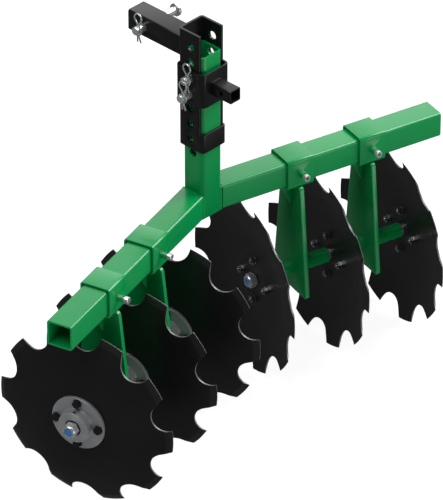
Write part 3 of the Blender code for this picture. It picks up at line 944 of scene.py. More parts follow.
# ---------------------------------------------------------------------------
# Frame
# ---------------------------------------------------------------------------
@dataclass
class MainFrame:
    """The upright mast and the two swept arms welded to its sides."""

    guide: Guide
    yard: Yard
    mast_wall: float = 0.005
    mast_corner: float = 0.010
    arm_wall: float = 0.0045
    arm_corner: float = 0.006
    arm_step: float = 0.0011
    pin_hole: float = 0.020
    mast_holes: int = 7
    edge: float = 0.0007
    bead: float = 0.0010

    def build(self) -> None:
        """Make the mast, both arms and the beads between them."""
        self._mast()
        for side in Side:
            self._arm(side)

    def _mast(self) -> None:
        """Make the mast with its row of cross holes."""
        low, high = self.guide.extent("mast")
        mast = Bench.box_tube("mast_tube", low, high, Axis.Z, self.mast_wall,
                              self.mast_corner, 10)
        upper = self.guide.extent("upper_mast_pin")
        lower = self.guide.extent("lower_mast_pin")
        top_pin = (upper[0].z + upper[1].z) / 2
        pitch = top_pin - (lower[0].z + lower[1].z) / 2
        arm_top = self.guide.extent("left_arm")[1].z
        heights = [top_pin + step * pitch for step in range(6, -12, -1)]
        places = [Vector((0.0, self.guide.mast_y, z)) for z in heights
                  if arm_top + self.pin_hole <= z
                  <= high.z - self.pin_hole / 2 - self.mast_wall]
        Bench.drill(mast, places[:self.mast_holes], ALONG_X, self.pin_hole,
                    0.1)
        Bench.shade(Bench.soften(mast, self.edge))
        self.yard.deliver(mast, "frame", Paint.GREEN, node="mast")

    def _arm(self, side: Side) -> None:
        """Make one arm, cut to the mast, and its weld.

        Args:
            side: which arm.
        """
        seat = self.guide.arm_seat(side)
        node = f"{side.value}_arm"
        low, high = self.guide.extent(node, seat)
        arm = Bench.box_tube(f"{node}_tube", low, high, Axis.X, self.arm_wall,
                             self.arm_corner)
        face = self.guide.extent("mast")[1].x + GAP
        own = seat.inverted()
        wall = Bench.block("mast_side", (-0.2, -0.3, 0.0), (face, 0.3, 1.0))
        if side is Side.LEFT:
            Bench.move(wall, Matrix.Scale(-1.0, 4, (1.0, 0.0, 0.0)))
        Bench.soften(arm, self.edge)
        Bench.shade(Bench.combine(arm, Bench.move(wall, own), Cut.REMOVE))
        self.yard.deliver(Bench.move(arm, seat), "frame", Paint.GREEN,
                          node=node)

        out, ahead = seat.col[0].xyz, seat.col[1].xyz
        half, corner = high.z, self.arm_corner
        ring = rounded_loop(half, half, corner, 10)
        route = []
        for across, up in ring:
            along = (face - across * abs(ahead.x)) / abs(out.x)
            route.append(seat @ Vector((along, across, up)))
        bead = weld_bead(f"{node}_weld", route, self.bead, closed=True)
        self.yard.deliver(bead, "frame", Paint.GREEN)
        self._corner_weld(side, seat.translation.z, high.z)

    def _corner_weld(self, side: Side, middle: float, half: float) -> None:
        """Fill the groove between an arm and the mast's round rear corner.

        The arm's rear edge stands arm_step behind the mast's rear face, and
        the bead ends flush with it.

        Args:
            side: which arm.
            middle: height of the arm's middle.
            half: half the arm's height.
        """
        radius = self.mast_corner * 0.48
        rear = self.guide.extent("mast")[0].y
        reach = self.guide.extent("mast")[1].x - self.mast_corner * 0.38
        across = math.copysign(reach, self.guide.arm_seat(side).col[0].x)
        bead = weld_bead(f"{side.value}_corner_weld", [
            Vector((across, rear + radius - self.arm_step, middle + up))
            for up in (-half + 0.0008, half - 0.0008)], radius, ripple=0.004)
        self.yard.deliver(bead, "frame", Paint.GREEN)


def rounded_loop(half_width: float, half_height: float, corner: float,
                 steps: int) -> list[tuple[float, float]]:
    """Give points round a rectangle with round corners, evenly spread.

    Args:
        half_width: half its width.
        half_height: half its height.
        corner: its corner radius.
        steps: points in each corner.

    Returns:
        The points, counterclockwise.
    """
    loop = []
    for quarter, (sx, sy) in enumerate(((1, 1), (-1, 1), (-1, -1), (1, -1))):
        cx, cy = sx * (half_width - corner), sy * (half_height - corner)
        for step in range(steps + 1):
            angle = (quarter + step / steps) * math.pi / 2
            loop.append((cx + corner * math.cos(angle),
                         cy + corner * math.sin(angle)))
    return loop


def weld_bead(name: str, route: Sequence[Vector], radius: float,
              closed: bool = False, ripple: float = 0.0017) -> Piece:
    """Lay a rippled weld bead along a route.

    Args:
        name: the bead's name.
        route: corners and curve points along its middle.
        radius: its radius.
        closed: whether it meets its own start.
        ripple: length of one ripple.

    Returns:
        The bead.
    """
    ends = list(zip(route, list(route[1:]) + ([route[0]] if closed else [])))
    dense: list[Vector] = []
    for start, end in ends:
        count = max(1, round((end - start).length / (ripple / 2)))
        dense += [start.lerp(end, step / count) for step in range(count)]
    if not closed:
        dense.append(route[-1])
    return Bench.wire(name, dense, radius, closed, 2,
                      lambda index: 1.06 if index % 2 else 0.94)


# ---------------------------------------------------------------------------
# Hitch
# ---------------------------------------------------------------------------
@dataclass
class Hitch:
    """Bracket, drawbar, collar with its stub, pins and hairpin clips."""

    guide: Guide
    yard: Yard
    bracket_wall: float = 0.0055
    bracket_corner: float = 0.008
    bracket_ring: float = 0.044
    bracket_cut: float = 0.010
    bracket_holes: int = 7
    drawbar_wall: float = 0.005
    drawbar_corner: float = 0.005
    collar_wall: float = 0.0045
    collar_corner: float = 0.011
    stub_wall: float = 0.003
    stub_corner: float = 0.003
    pin_hole: float = 0.020
    edge: float = 0.0007
    clip_wire: float = 0.0018
    bead: float = 0.0006
    pins: tuple[str, ...] = ("upper_mast_pin", "lower_mast_pin", "hitch_pin")
    heights: list[float] = field(default_factory=list)

    def build(self) -> None:
        """Make every piece of the hitch."""
        for name in self.pins:
            low, high = self.guide.extent(name)
            self.heights.append((low.z + high.z) / 2)
        self._bracket()
        self._drawbar()
        self._collar()
        self._stub()
        for name in self.pins:
            self._pin(name)
            self._clip(f"{name}_clip", name)

    def _bracket(self) -> None:
        """Make the bracket: a tube cut open behind, with height holes."""
        low, high = self.guide.extent("hitch_bracket")
        bracket = Bench.box_tube("bracket_channel", low, high, Axis.Z,
                                 self.bracket_wall, self.bracket_corner, 10)
        back = Bench.block("back", (low.x - 0.01, low.y - 0.01,
                                    low.z + self.bracket_ring),
                           (high.x + 0.01, low.y + self.bracket_cut,
                            high.z + 0.01))
        Bench.combine(bracket, back, Cut.REMOVE)
        pitch = self.heights[0] - self.heights[1]
        places = [Vector((0.0, self.guide.mast_y,
                          self.heights[0] + (2 - step) * pitch))
                  for step in range(self.bracket_holes)]
        Bench.drill(bracket, places, ALONG_X, self.pin_hole, 0.1)
        Bench.shade(Bench.soften(bracket, self.edge))
        self.yard.deliver(bracket, "frame", Paint.BLACK, node="hitch_bracket")

    def _drawbar(self) -> None:
        """Make the drawbar and its weld to the bracket."""
        low, high = self.guide.extent("drawbar")
        bar = Bench.box_tube("drawbar_tube", low, high, Axis.Y,
                             self.drawbar_wall, self.drawbar_corner)
        pin = self.guide.extent("hitch_pin")
        middle = Vector((0.0, (pin[0].y + pin[1].y) / 2, self.heights[2]))
        Bench.drill(bar, [middle], ALONG_X, self.pin_hole, 0.1)
        Bench.shade(Bench.soften(bar, self.edge))
        self.yard.deliver(bar, "frame", Paint.BLACK, node="drawbar")
        centre = (low + high) / 2
        half = (high.x - low.x) / 2
        route = [Vector((x, low.y, centre.z + z)) for x, z in
                 rounded_loop(half, half, self.drawbar_corner, 8)]
        self.yard.deliver(weld_bead("drawbar_weld", route, self.bead, True),
                          "frame", Paint.BLACK)

    def _collar(self) -> None:
        """Make the collar round bracket and mast."""
        low, high = self.guide.extent("mast_collar")
        collar = Bench.box_tube("collar_sleeve", low, high, Axis.Z,
                                self.collar_wall, self.collar_corner, 10)
        places = [Vector((0.0, self.guide.mast_y, z))
                  for z in self.heights[:2]]
        Bench.drill(collar, places, ALONG_X, self.pin_hole, 0.12)
        Bench.shade(Bench.soften(collar, self.edge))
        self.yard.deliver(collar, "frame", Paint.BLACK, node="mast_collar")

    def _stub(self) -> None:
        """Make the stub tube behind the collar and its weld."""
        low, high = self.guide.extent("collar_stub")
        stub = Bench.box_tube("stub_tube", low, high, Axis.Y, self.stub_wall,
                              self.stub_corner)
        centre = (low + high) / 2
        Bench.drill(stub, [centre], ALONG_X, (high.x - low.x) / 3, 0.08)
        Bench.shade(Bench.soften(stub, self.edge * 0.8))
        self.yard.deliver(stub, "frame", Paint.BLACK, node="collar_stub")
        half = (high.x - low.x) / 2
        route = [Vector((x, high.y, centre.z + z)) for x, z in
                 rounded_loop(half, half, self.stub_corner, 6)]
        self.yard.deliver(weld_bead("stub_weld", route, self.bead, True),
                          "frame", Paint.BLACK)

    def _pin(self, name: str) -> None:
        """Turn one headed pin and drill its tip for the clip.

        Args:
            name: the pin's node.
        """
        low, high = self.guide.extent(name)
        clip = self.guide.extent(f"{name}_clip")
        head = (high.z - low.z) / 2
        centre = Vector((0.0, (low.y + high.y) / 2, (low.z + high.z) / 2))
        radius, rim = self.pin_hole / 2 - 0.0005, 0.0012
        under = high.x - 0.008
        profile = [(low.x, 0.0), (low.x, radius - 0.002),
                   (low.x + 0.0006, radius - 0.0012),
                   (low.x + 0.0022, radius), (under - 0.0008, radius),
                   (under, radius + 0.0008), (under, head - rim)]
        profile += [(under + rim * (1 - math.cos(turn)),
                     head - rim + rim * math.sin(turn))
                    for turn in (math.pi / 6, math.pi / 3, math.pi / 2)]
        profile += [(high.x - 2 * rim, head), (high.x - rim, head - rim * 0.3),
                    (high.x - rim * 0.3, head - rim), (high.x, head - 2 * rim),
                    (high.x, 0.0)]
        pin = Bench.lathe(f"{name}_bar", profile, 48)
        Bench.move(pin, Matrix.Translation(centre) @ ALONG_X)
        middle = Vector(((clip[0].x + clip[1].x) / 2, centre.y, centre.z))
        Bench.drill(pin, [middle], Matrix.Identity(4),
                    2 * self.clip_wire + 0.0012, 0.06, 24)
        Bench.shade(pin, TURNED_EDGE)
        self.yard.deliver(pin, "frame", Paint.ZINC, node=name)

    def _clip(self, node: str, pin: str) -> None:
        """Bend one hairpin clip: a straight leg through the pin, a loop, a
        waist and a bow that grips the pin from outside.

        Args:
            node: the clip's node.
            pin: the node of its pin.
        """
        low, high = self.guide.extent(node)
        body = self.guide.extent(pin)
        x = (low.x + high.x) / 2
        y, z = (body[0].y + body[1].y) / 2, (body[0].z + body[1].z) / 2
        wire, radius = self.clip_wire, self.pin_hole / 2 - 0.0005
        tail, top = low.z - z, high.z - z
        loop = 0.0105
        centre = Vector((-wire - 0.0002, top - wire - loop))
        bow = radius + wire + 0.0002
        waist = -2 * wire - 0.0004
        guide_points = [(0.0, tail), (0.0, 0.0), (0.0, radius + 0.006)]
        guide_points += [
            (centre.x + loop * math.cos(angle), centre.y + loop
             * math.sin(angle))
            for angle in (math.radians(-38 + 256 * step / 12)
                          for step in range(13))]
        guide_points += [(waist - 0.0004, radius + 0.0045)]
        guide_points += [
            (bow * math.cos(angle), bow * math.sin(angle))
            for angle in (math.radians(128 + 104 * step / 8)
                          for step in range(9))]
        guide_points += [(waist, -radius - 0.0035), (waist - 0.006, tail)]
        route = smooth_route([Vector((x, y + across, z + up))
                              for across, up in guide_points], 4)
        clip = Bench.wire(f"{node}_wire", route, wire, False, 3)
        self.yard.deliver(clip, "frame", Paint.ZINC, node=node)


def smooth_route(points: Sequence[Vector], steps: int) -> list[Vector]:
    """Round a route off between its points.

    Args:
        points: the route's points.
        steps: new points in each stretch.

    Returns:
        A denser route through the same points.
    """
    route: list[Vector] = []
    last = len(points) - 1
    for index in range(last):
        before, start = points[max(index - 1, 0)], points[index]
        end, after = points[index + 1], points[min(index + 2, last)]
        reach = (end - start).length
        first = (end - before).normalized() * reach if index else end - start
        second = ((after - start).normalized() * reach if index < last - 1
                  else end - start)
        for step in range(steps):
            t = step / steps
            route.append(start * (2 * t ** 3 - 3 * t ** 2 + 1)
                         + first * (t ** 3 - 2 * t ** 2 + t)
                         + end * (3 * t ** 2 - 2 * t ** 3)
                         + second * (t ** 3 - t ** 2))
    return route + [points[-1]]


# ---------------------------------------------------------------------------
# Shanks
# ---------------------------------------------------------------------------
@dataclass
class Shanks:
    """Four shanks: clamp sleeve, set bolt, plate with webs, bearing tube."""

    guide: Guide
    yard: Yard
    sleeve_wall: float = 0.005
    sleeve_corner: float = 0.007
    boss_diameter: float = 0.016
    bolt_hole: float = 0.0108
    bolt_diameter: float = 0.010
    head_diameter: float = 0.0155
    head_height: float = 0.010
    socket: float = 0.008
    plate_top_half: float = 0.040
    plate_top_round: float = 0.009
    plate_foot_round: float = 0.006
    plate_edge: float = 0.0022
    web_thickness: float = 0.008
    web_depth: float = 0.055
    bearing_wall: float = 0.0032
    edge: float = 0.0007
    bead: float = 0.0010

    def build(self) -> None:
        """Make one of each piece and copy it to the four shanks."""
        seat = self.guide.arm_seat(Side.RIGHT)
        node = "right_inner_clamp_sleeve"
        low, high = self.guide.extent(node, seat)
        station = (low.x + high.x) / 2
        half = Vector(((high.x - low.x) / 2, high.y, high.z))
        boss_end = -low.y
        parts = {
            "clamp_sleeve": (self._sleeve(half, boss_end), "clamp_sleeve"),
            "set_bolt": (self._set_bolt(station), "set_bolt"),
            "shank_plate": (self._plate(half), "shank_plate"),
            "shank_webs": (self._webs(half), None),
            "shank_welds": (self._welds(half), None),
        }
        for side in Side:
            for word in ("inner", "outer"):
                self._place(side, word, parts)
                self._bearing(side, word)
        Bench.discard(*(master for master, _ in parts.values()))

    def _place(self, side: Side, word: str,
               parts: dict[str, tuple[Piece, str | None]]) -> None:
        """Copy the pieces of one shank to their place.

        Args:
            side: which arm.
            word: which shank on it.
            parts: each master and the node it stands for.
        """
        seat = self.guide.arm_seat(side)
        prefix = f"{side.value}_{word}"
        low, high = self.guide.extent(f"{prefix}_clamp_sleeve", seat)
        place = seat @ Matrix.Translation(((low.x + high.x) / 2, 0.0, 0.0))
        for label, (master, node) in parts.items():
            piece = Bench.stamp(master, f"{prefix}_{label}_piece", place)
            paint = Paint.ZINC if label == "set_bolt" else Paint.GREEN
            self.yard.deliver(piece, f"{side.value}_carrier", paint,
                              node=f"{prefix}_{node}" if node else None)

    def _sleeve(self, half: Vector, boss_end: float) -> Piece:
        """Make the clamp sleeve with the set bolt's boss on its back.

        Args:
            half: half its length, width and height.
            boss_end: how far back the boss reaches.

        Returns:
            The sleeve, centred on its station.
        """
        sleeve = Bench.box_tube("sleeve", -half, half, Axis.X,
                                self.sleeve_wall, self.sleeve_corner)
        root = half.y - self.sleeve_wall / 2
        boss = Bench.bar("boss", self.boss_diameter / 2, root, boss_end, 40)
        Bench.combine(sleeve, Bench.move(boss, self._back()), Cut.ADD)
        bore = Bench.bar("bore", self.bolt_hole / 2,
                         half.y - 2 * self.sleeve_wall, boss_end + 0.01, 32)
        Bench.combine(sleeve, Bench.move(bore, self._back()), Cut.REMOVE)
        return Bench.shade(Bench.soften(sleeve, self.edge))

    @staticmethod
    def _back() -> Matrix:
        """Give the turn that points a bar along Z out of the back face."""
        return Matrix.Rotation(math.pi / 2, 4, "X")

    def _set_bolt(self, station: float) -> Piece:
        """Make the socket-head set bolt with its bare thread.

        Args:
            station: the inner shank's place along the arm.

        Returns:
            The bolt, centred on its station.
        """
        seat = self.guide.arm_seat(Side.RIGHT)
        own = Matrix.Translation((-station, 0.0, 0.0)) @ seat.inverted()
        low, high = self.guide.extent("right_inner_set_bolt", own.inverted())
        tip, top = -high.y, -low.y
        shank, head = self.bolt_diameter / 2, self.head_diameter / 2
        under = top - self.head_height
        profile = [(tip, 0.0), (tip, shank - 0.001)]
        along = tip + 0.001
        while along < under - 0.0015:
            profile += [(along, shank), (along + 0.00055, shank - 0.0007)]
            along += 0.0011
        profile += [(under, shank), (under, head - 0.0006),
                    (under + 0.0006, head), (top - 0.0016, head),
                    (top - 0.0006, head - 0.0004), (top, head - 0.0014),
                    (top, 0.0)]
        bolt = Bench.lathe("set_bolt", profile, 48)
        recess = Bench.bar("recess", self.socket / math.sqrt(3),
                           top - self.head_height * 0.6, top + 0.01, 6)
        Bench.combine(bolt, recess, Cut.REMOVE)
        return Bench.shade(Bench.move(bolt, self._back()), TURNED_EDGE)

    def _plate(self, half: Vector) -> Piece:
        """Make the tapered plate, its edges rounded over.

        Args:
            half: half sizes of the sleeve.

        Returns:
            The plate, centred on its station.
        """
        seat = self.guide.arm_seat(Side.RIGHT)
        low, high = self.guide.extent("right_inner_shank_plate", seat)
        bearing = self.guide.extent("right_inner_bearing_tube", seat)
        thick = 0.006
        plate = Bench.block("plate", (-thick, -self.plate_top_half, low.z),
                            (thick, self.plate_top_half, -half.z - GAP))
        foot = high.y / self.plate_top_half
        Bench.pick(plate, Element.VERT, lambda vert: vert.co.z < low.z + 0.01)
        bpy.ops.transform.resize(value=(1.0, foot, 1.0),
                                 center_override=(0.0, 0.0, low.z))
        for top in (True, False):
            Bench.pick(plate, Element.EDGE, lambda edge: (
                abs(edge.verts[0].co.x - edge.verts[1].co.x) > thick
                and (edge.verts[0].co.z > -0.1) is top
                and abs(edge.verts[0].co.y) > 0.02))
            bpy.ops.mesh.bevel(offset=self.plate_top_round if top
                               else self.plate_foot_round, segments=8,
                               affect="EDGES")
        Bench.done()
        Bench.soften(plate, self.plate_edge, 4, 60.0)
        centre = (bearing[0] + bearing[1]) / 2
        Bench.drill(plate, [Vector((0.0, 0.0, centre.z))], ALONG_X,
                    2 * (bearing[1].y + GAP), 0.05, 56)
        return Bench.shade(plate)

    def _webs(self, half: Vector) -> Piece:
        """Make the two triangular webs between plate and sleeve.

        Args:
            half: half sizes of the sleeve.

        Returns:
            Both webs as one piece, centred on their station.
        """
        top, depth = -half.z - 0.0006, self.web_depth
        thick = self.web_thickness / 2
        webs = []
        for face in (1.0, -1.0):
            inside, outside = face * 0.0045, face * half.x
            web = Bench.block("web", (min(inside, outside), -thick,
                                      top - depth),
                              (max(inside, outside), thick, top))
            Bench.pick(web, Element.VERT, lambda vert: (
                vert.co.z < top - depth / 2
                and abs(vert.co.x) > half.x / 2))
            bpy.ops.transform.resize(
                value=(0.12, 1.0, 1.0), center_override=(inside, 0.0, 0.0))
            Bench.done()
            webs.append(Bench.soften(web, 0.0008))
        Bench.take(*webs)
        bpy.ops.object.join()
        return Bench.shade(webs[0])

    def _welds(self, half: Vector) -> Piece:
        """Lay the beads that hold plate and boss.

        Args:
            half: half sizes of the sleeve.

        Returns:
            All beads as one piece, centred on their station.
        """
        seat = self.guide.arm_seat(Side.RIGHT)
        bearing = self.guide.extent("right_inner_bearing_tube", seat)
        z = (bearing[0].z + bearing[1].z) / 2
        radius = bearing[1].y
        beads = []
        for face in (1.0, -1.0):
            x, top = face * 0.0062, -half.z - 0.0002
            beads.append(weld_bead("bead", [
                Vector((x, -self.plate_top_half + 0.012, top)),
                Vector((x, self.plate_top_half - 0.012, top))], self.bead))
            ring = [Vector((x, radius * math.cos(turn), z + radius
                            * math.sin(turn)))
                    for turn in (math.tau * step / 48 for step in range(48))]
            beads.append(weld_bead("bead", ring, self.bead * 0.8, True))
        reach = self.boss_diameter / 2
        ring = [Vector((reach * math.cos(turn), -half.y,
                        reach * math.sin(turn)))
                for turn in (math.tau * step / 32 for step in range(32))]
        beads.append(weld_bead("bead", ring, self.bead * 0.55, True))
        Bench.take(*beads)
        bpy.ops.object.join()
        return beads[0]

    def _bearing(self, side: Side, word: str) -> None:
        """Make one bearing tube.

        Args:
            side: which arm.
            word: which shank on it.
        """
        seat = self.guide.axle_seat(side)
        node = f"{side.value}_{word}_bearing_tube"
        low, high = self.guide.extent(node, seat)
        outer = high.y
        inner, rim = outer - self.bearing_wall, 0.0008
        tube = Bench.lathe(f"{node}_piece", [
            (low.x, inner + rim), (low.x, outer - rim), (low.x + rim, outer),
            (high.x - rim, outer), (high.x, outer - rim),
            (high.x, inner + rim), (high.x - rim, inner),
            (low.x + rim, inner), (low.x, inner + rim)], 64)
        Bench.shade(Bench.move(tube, seat @ ALONG_X), 40.0)
        self.yard.deliver(tube, f"{side.value}_carrier", Paint.GREEN,
                          node=node)


# ---------------------------------------------------------------------------
# Gangs
# ---------------------------------------------------------------------------
@dataclass
class Gangs:
    """Both gangs: blades, hubs and their bolts, axle and lock nuts."""

    guide: Guide
    yard: Yard
    thickness: float = 0.004
    dish: float = 0.026
    flat_radius: float = 0.066
    teeth: int = 10
    notch_angle: float = math.radians(21.4)
    notch_radius: float = 0.0345
    notch_inset: float = 0.0025
    notch_offset: float = math.radians(1.1)
    bevel_width: float = 0.013
    land: float = 0.0014
    bore: float = 0.0128
    flange_thickness: float = 0.008
    root: float = 0.005
    bolt_circle: float = 0.0505
    bolt_flats: float = 0.017
    nut_flats: float = 0.030
    nut_bore: float = 0.0100

    def build(self) -> None:
        """Make one of each piece and copy it to both gangs."""
        seat = self.guide.axle_seat(Side.RIGHT)
        low, high = self.guide.extent("right_inner_blade", seat)
        blade = self._blade(high.y)
        low, high = self.guide.extent("right_inner_hub", seat)
        hub = self._hub(high.x - low.x, high.y)
        nut, insert = self._nut("right_inner_axle_nut", seat)
        masters = [blade, hub, self._hub_bolts(), self._hub_nuts(),
                   self._set_screw(high.x - low.x), nut, insert,
                   self._washer()]
        for side in Side:
            self._gang(side, masters)
        Bench.discard(*masters)

    def _gang(self, side: Side, masters: Sequence[Piece]) -> None:
        """Copy the pieces of one gang to their places.

        Args:
            side: which gang.
            masters: the pieces to copy.
        """
        blade, hub, bolts, nuts, screw, nut, insert, washer = masters
        seat = self.guide.axle_seat(side)
        body = f"{side.value}_gang"
        deliver, stamp = self.yard.deliver, Bench.stamp
        for word in ("inner", "middle", "outer"):
            prefix = f"{side.value}_{word}"
            high = self.guide.extent(f"{prefix}_blade", seat)[1]
            place = seat @ Matrix.Translation(
                (high.x - self.thickness, 0.0, 0.0))
            deliver(stamp(blade, f"{prefix}_disc", place), body, Paint.BLADE,
                    Paint.BLADE_CUT, Paint.BLADE_BEVEL,
                    node=f"{prefix}_blade", seat=seat)
            deliver(stamp(nuts, f"{prefix}_hub_nuts", place), body,
                    Paint.STEEL, seat=seat)
            low = self.guide.extent(f"{prefix}_hub", seat)[0]
            place = seat @ Matrix.Translation((low.x, 0.0, 0.0))
            deliver(stamp(hub, f"{prefix}_hub_casting", place), body,
                    Paint.CASTING, node=f"{prefix}_hub", seat=seat)
            deliver(stamp(bolts, f"{prefix}_hub_bolts", place), body,
                    Paint.BLACK_BOLT, seat=seat)
            deliver(stamp(screw, f"{prefix}_set_screw", place), body,
                    Paint.SHADOW, seat=seat)
        for word, outward in (("inner", -1.0), ("outer", 1.0)):
            node = f"{side.value}_{word}_axle_nut"
            low, high = self.guide.extent(node, seat)
            base = low.x if outward > 0 else high.x
            place = (seat @ Matrix.Translation((base, 0.0, 0.0))
                     @ Matrix.Scale(outward, 4, (1.0, 0.0, 0.0)))
            deliver(stamp(nut, f"{node}_body", place), body, Paint.ZINC,
                    node=node)
            deliver(stamp(insert, f"{node}_insert", place), body,
                    Paint.NYLON)
            if outward > 0:
                deliver(stamp(washer, f"{node}_washer", place), body,
                        Paint.BLACK_BOLT)
        self._axle(side, seat)

    def _depth(self, radius: float, rim: float) -> float:
        """Give how far a blade's hollow face stands back at a radius.

        Args:
            radius: the radius asked about.
            rim: the blade's radius.

        Returns:
            The depth.
        """
        if radius <= self.flat_radius:
            return 0.0
        run = rim - self.flat_radius
        sphere = (run ** 2 + self.dish ** 2) / (2 * self.dish)
        return sphere - math.sqrt(
            sphere ** 2 - (radius - self.flat_radius) ** 2)

    def _blade(self, rim: float) -> Piece:
        """Press, notch and grind one blade.

        Args:
            rim: the blade's radius.

        Returns:
            The blade, its hollow face's flat at the seat's origin.
        """
        ground = rim - self.bevel_width
        bands = [self.flat_radius + (ground - self.flat_radius) * step / 9
                 for step in range(10)]
        soft = [self.flat_radius - 0.006] + bands
        hollow = [(-self._depth(r, rim), r) for r in soft]
        crown = [(self.thickness + along, r) for along, r in reversed(hollow)]
        edge = -self._depth(rim, rim)
        profile = [(0.0, self.bore)] + hollow
        profile += [(-self._depth(rim - self.bevel_width / 2, rim),
                     rim - self.bevel_width / 2), (edge, rim),
                    (edge + self.land, rim)] + crown
        profile += [(self.thickness, self.bore), (0.0, self.bore)]
        blade = Bench.lathe("blade", profile, 180)
        Bench.combine(blade, self._notches(rim), Cut.REMOVE)
        Bench.tidy(blade, 1e-4)
        Bench.soften(blade, 0.0005, 2, 48.0)
        for paint in (Paint.BLADE, Paint.BLADE_CUT, Paint.BLADE_BEVEL):
            blade.data.materials.append(self.yard.shop.material(paint))
        for face in blade.data.polygons:
            reach = face.center.xy.length
            if abs(face.normal.z) < 0.5 and reach > 0.1:
                face.material_index = 1
            # Crowned-side faces on the ground band take the bevel finish,
            # lighter for wear and as a painted highlight.
            elif face.normal.z > 0 and reach > ground + 0.0003:
                face.material_index = 2
        return Bench.move(Bench.shade(blade, 24.0), self._outward())

    @staticmethod
    def _outward() -> Matrix:
        """Give the turn from a shape round Z to one round the axle: its X
        becomes forward, its Y up and its Z outward."""
        return Matrix(((0, 0, 1, 0), (1, 0, 0, 0), (0, 1, 0, 0),
                       (0, 0, 0, 1)))

    def _notches(self, rim: float) -> Piece:
        """Make the cutter for every notch of a blade.

        Each notch is a round bite whose one side is drawn out into a
        straight flank that meets the rim at the next tooth.

        Args:
            rim: the blade's radius.

        Returns:
            The joined cutter.
        """
        cutters = []
        for tooth in range(self.teeth):
            middle = (tooth + 0.5) * math.tau / self.teeth
            corner = Vector((rim, 0.0))
            corner.rotate(Matrix.Rotation(middle - self.notch_angle / 2, 2))
            centre = Vector((rim - self.notch_inset, 0.0))
            centre.rotate(Matrix.Rotation(middle + self.notch_offset, 2))
            span = centre - corner
            flank = span.normalized() * math.sqrt(
                span.length ** 2 - self.notch_radius ** 2)
            flank.rotate(Matrix.Rotation(
                math.asin(self.notch_radius / span.length), 2))
            away = -flank.normalized()
            bite = Bench.bar("bite", self.notch_radius, -0.06, 0.03, 72)
            Bench.move(bite, Matrix.Translation((*centre, 0.0)))
            Bench.pick(bite, Element.VERT, lambda vert: (
                (vert.co.xy - centre).dot(away) > 1e-6))
            bpy.ops.transform.translate(value=(*(away * 0.034), 0.0))
            Bench.done()
            cutters.append(bite)
        Bench.take(*cutters)
        bpy.ops.object.join()
        return cutters[0]

    def _hub(self, length: float, flange: float) -> Piece:
        """Turn one hub and drill it for its set screw.

        Args:
            length: its length along the axle.
            flange: its flange's radius.

        Returns:
            The hub, its flange's inner face at the seat's origin.
        """
        barrel, rim, root = 0.036, 0.0012, self.root
        face = self.flange_thickness
        profile = [(0.0, self.bore), (0.0, flange - rim), (rim, flange),
                   (face - rim, flange), (face, flange - rim)]
        profile += [(face + root * (1 - math.cos(turn)),
                     barrel + root * (1 - math.sin(turn)))
                    for turn in (math.pi / 2 * step / 6
                                 for step in range(7))]
        profile += [(length - rim, barrel), (length, barrel - rim),
                    (length, 0.0190), (length - 0.0006, 0.0184),
                    (length - 0.0035, 0.0184), (length - 0.0035, self.bore),
                    (0.0, self.bore)]
        hub = Bench.lathe("hub", profile, 96)
        hole = Bench.bar("hole", 0.0042, 0.028, 0.05, 32)
        Bench.move(hole, Matrix.Translation((0.0, 0.0, self._screw(length))))
        turn = Matrix.Rotation(-math.pi / 2, 4, "X")
        hole.data.transform(Matrix.Translation(
            (0.0, 0.0, -self._screw(length))))
        hole.data.transform(Matrix.Translation(
            (0.0, 0.0, self._screw(length))) @ turn)
        Bench.combine(hub, hole, Cut.REMOVE)
        return Bench.move(Bench.shade(hub, TURNED_EDGE), self._outward())

    def _screw(self, length: float) -> float:
        """Give the set screw's place along a hub of this length."""
        return (length + self.flange_thickness + self.root) / 2

    def _set_screw(self, length: float) -> Piece:
        """Make the socket screw in the barrel's hole, in a dull near-black that
        paints the shade inside the hole.

        Args:
            length: the hub's length.

        Returns:
            The screw in the hub's seat.
        """
        screw = Bench.lathe("screw", [(0.024, 0.0), (0.024, 0.0040),
                                      (0.0318, 0.0040), (0.0325, 0.0034),
                                      (0.0325, 0.0)], 32)
        recess = Bench.bar("recess", 0.0022, 0.029, 0.04, 6)
        Bench.combine(screw, recess, Cut.REMOVE)
        Bench.shade(screw, TURNED_EDGE)
        return Bench.move(screw, Matrix.Translation(
            (self._screw(length), 0.0, 0.0)))

    def _around(self, master: Piece) -> Piece:
        """Copy a bolt to the four places of the bolt circle and join them.

        Args:
            master: the bolt, along X at the axle.

        Returns:
            The joined pieces.
        """
        copies = []
        for step in range(4):
            place = (Matrix.Rotation(step * math.pi / 2, 4, "X")
                     @ Matrix.Translation((0.0, 0.0, self.bolt_circle)))
            copies.append(Bench.stamp(master, "copy", place))
        Bench.discard(master)
        Bench.take(*copies)
        bpy.ops.object.join()
        return copies[0]

    def _hub_bolts(self) -> Piece:
        """Make the four black bolt heads on the flange.

        Returns:
            The heads in the hub's seat.
        """
        base = self.flange_thickness
        head = Bench.hexagon("head", self.bolt_flats, base + 0.0008,
                             base + 0.0080)
        ring = Bench.lathe("ring", [(base, 0.0), (base, 0.0096),
                                    (base + 0.0006, 0.0100),
                                    (base + 0.0012, 0.0094),
                                    (base + 0.0016, 0.0)], 40)
        Bench.take(head, ring)
        bpy.ops.object.join()
        Bench.shade(head, TURNED_EDGE)
        return self._around(Bench.move(head, ALONG_X))

    def _hub_nuts(self) -> Piece:
        """Make the four nuts and thread ends on the hollow side.

        Returns:
            The nuts in the blade's seat.
        """
        nut = Bench.hexagon("nut", 0.0155, -0.0085, -0.0006)
        washer = Bench.bar("washer", 0.0092, -0.0010, 0.0, 40)
        profile = [(-0.0005, 0.0), (-0.0005, 0.0042)]
        along = -0.0085
        profile += [(along, 0.0042)]
        while along > -0.0115:
            profile += [(along, 0.0046), (along - 0.0005, 0.0040)]
            along -= 0.0010
        profile += [(along - 0.0004, 0.0036), (along - 0.0004, 0.0)]
        tip = Bench.lathe("tip", profile, 32)
        Bench.take(nut, washer, tip)
        bpy.ops.object.join()
        Bench.shade(nut, TURNED_EDGE)
        return self._around(Bench.move(nut, ALONG_X))

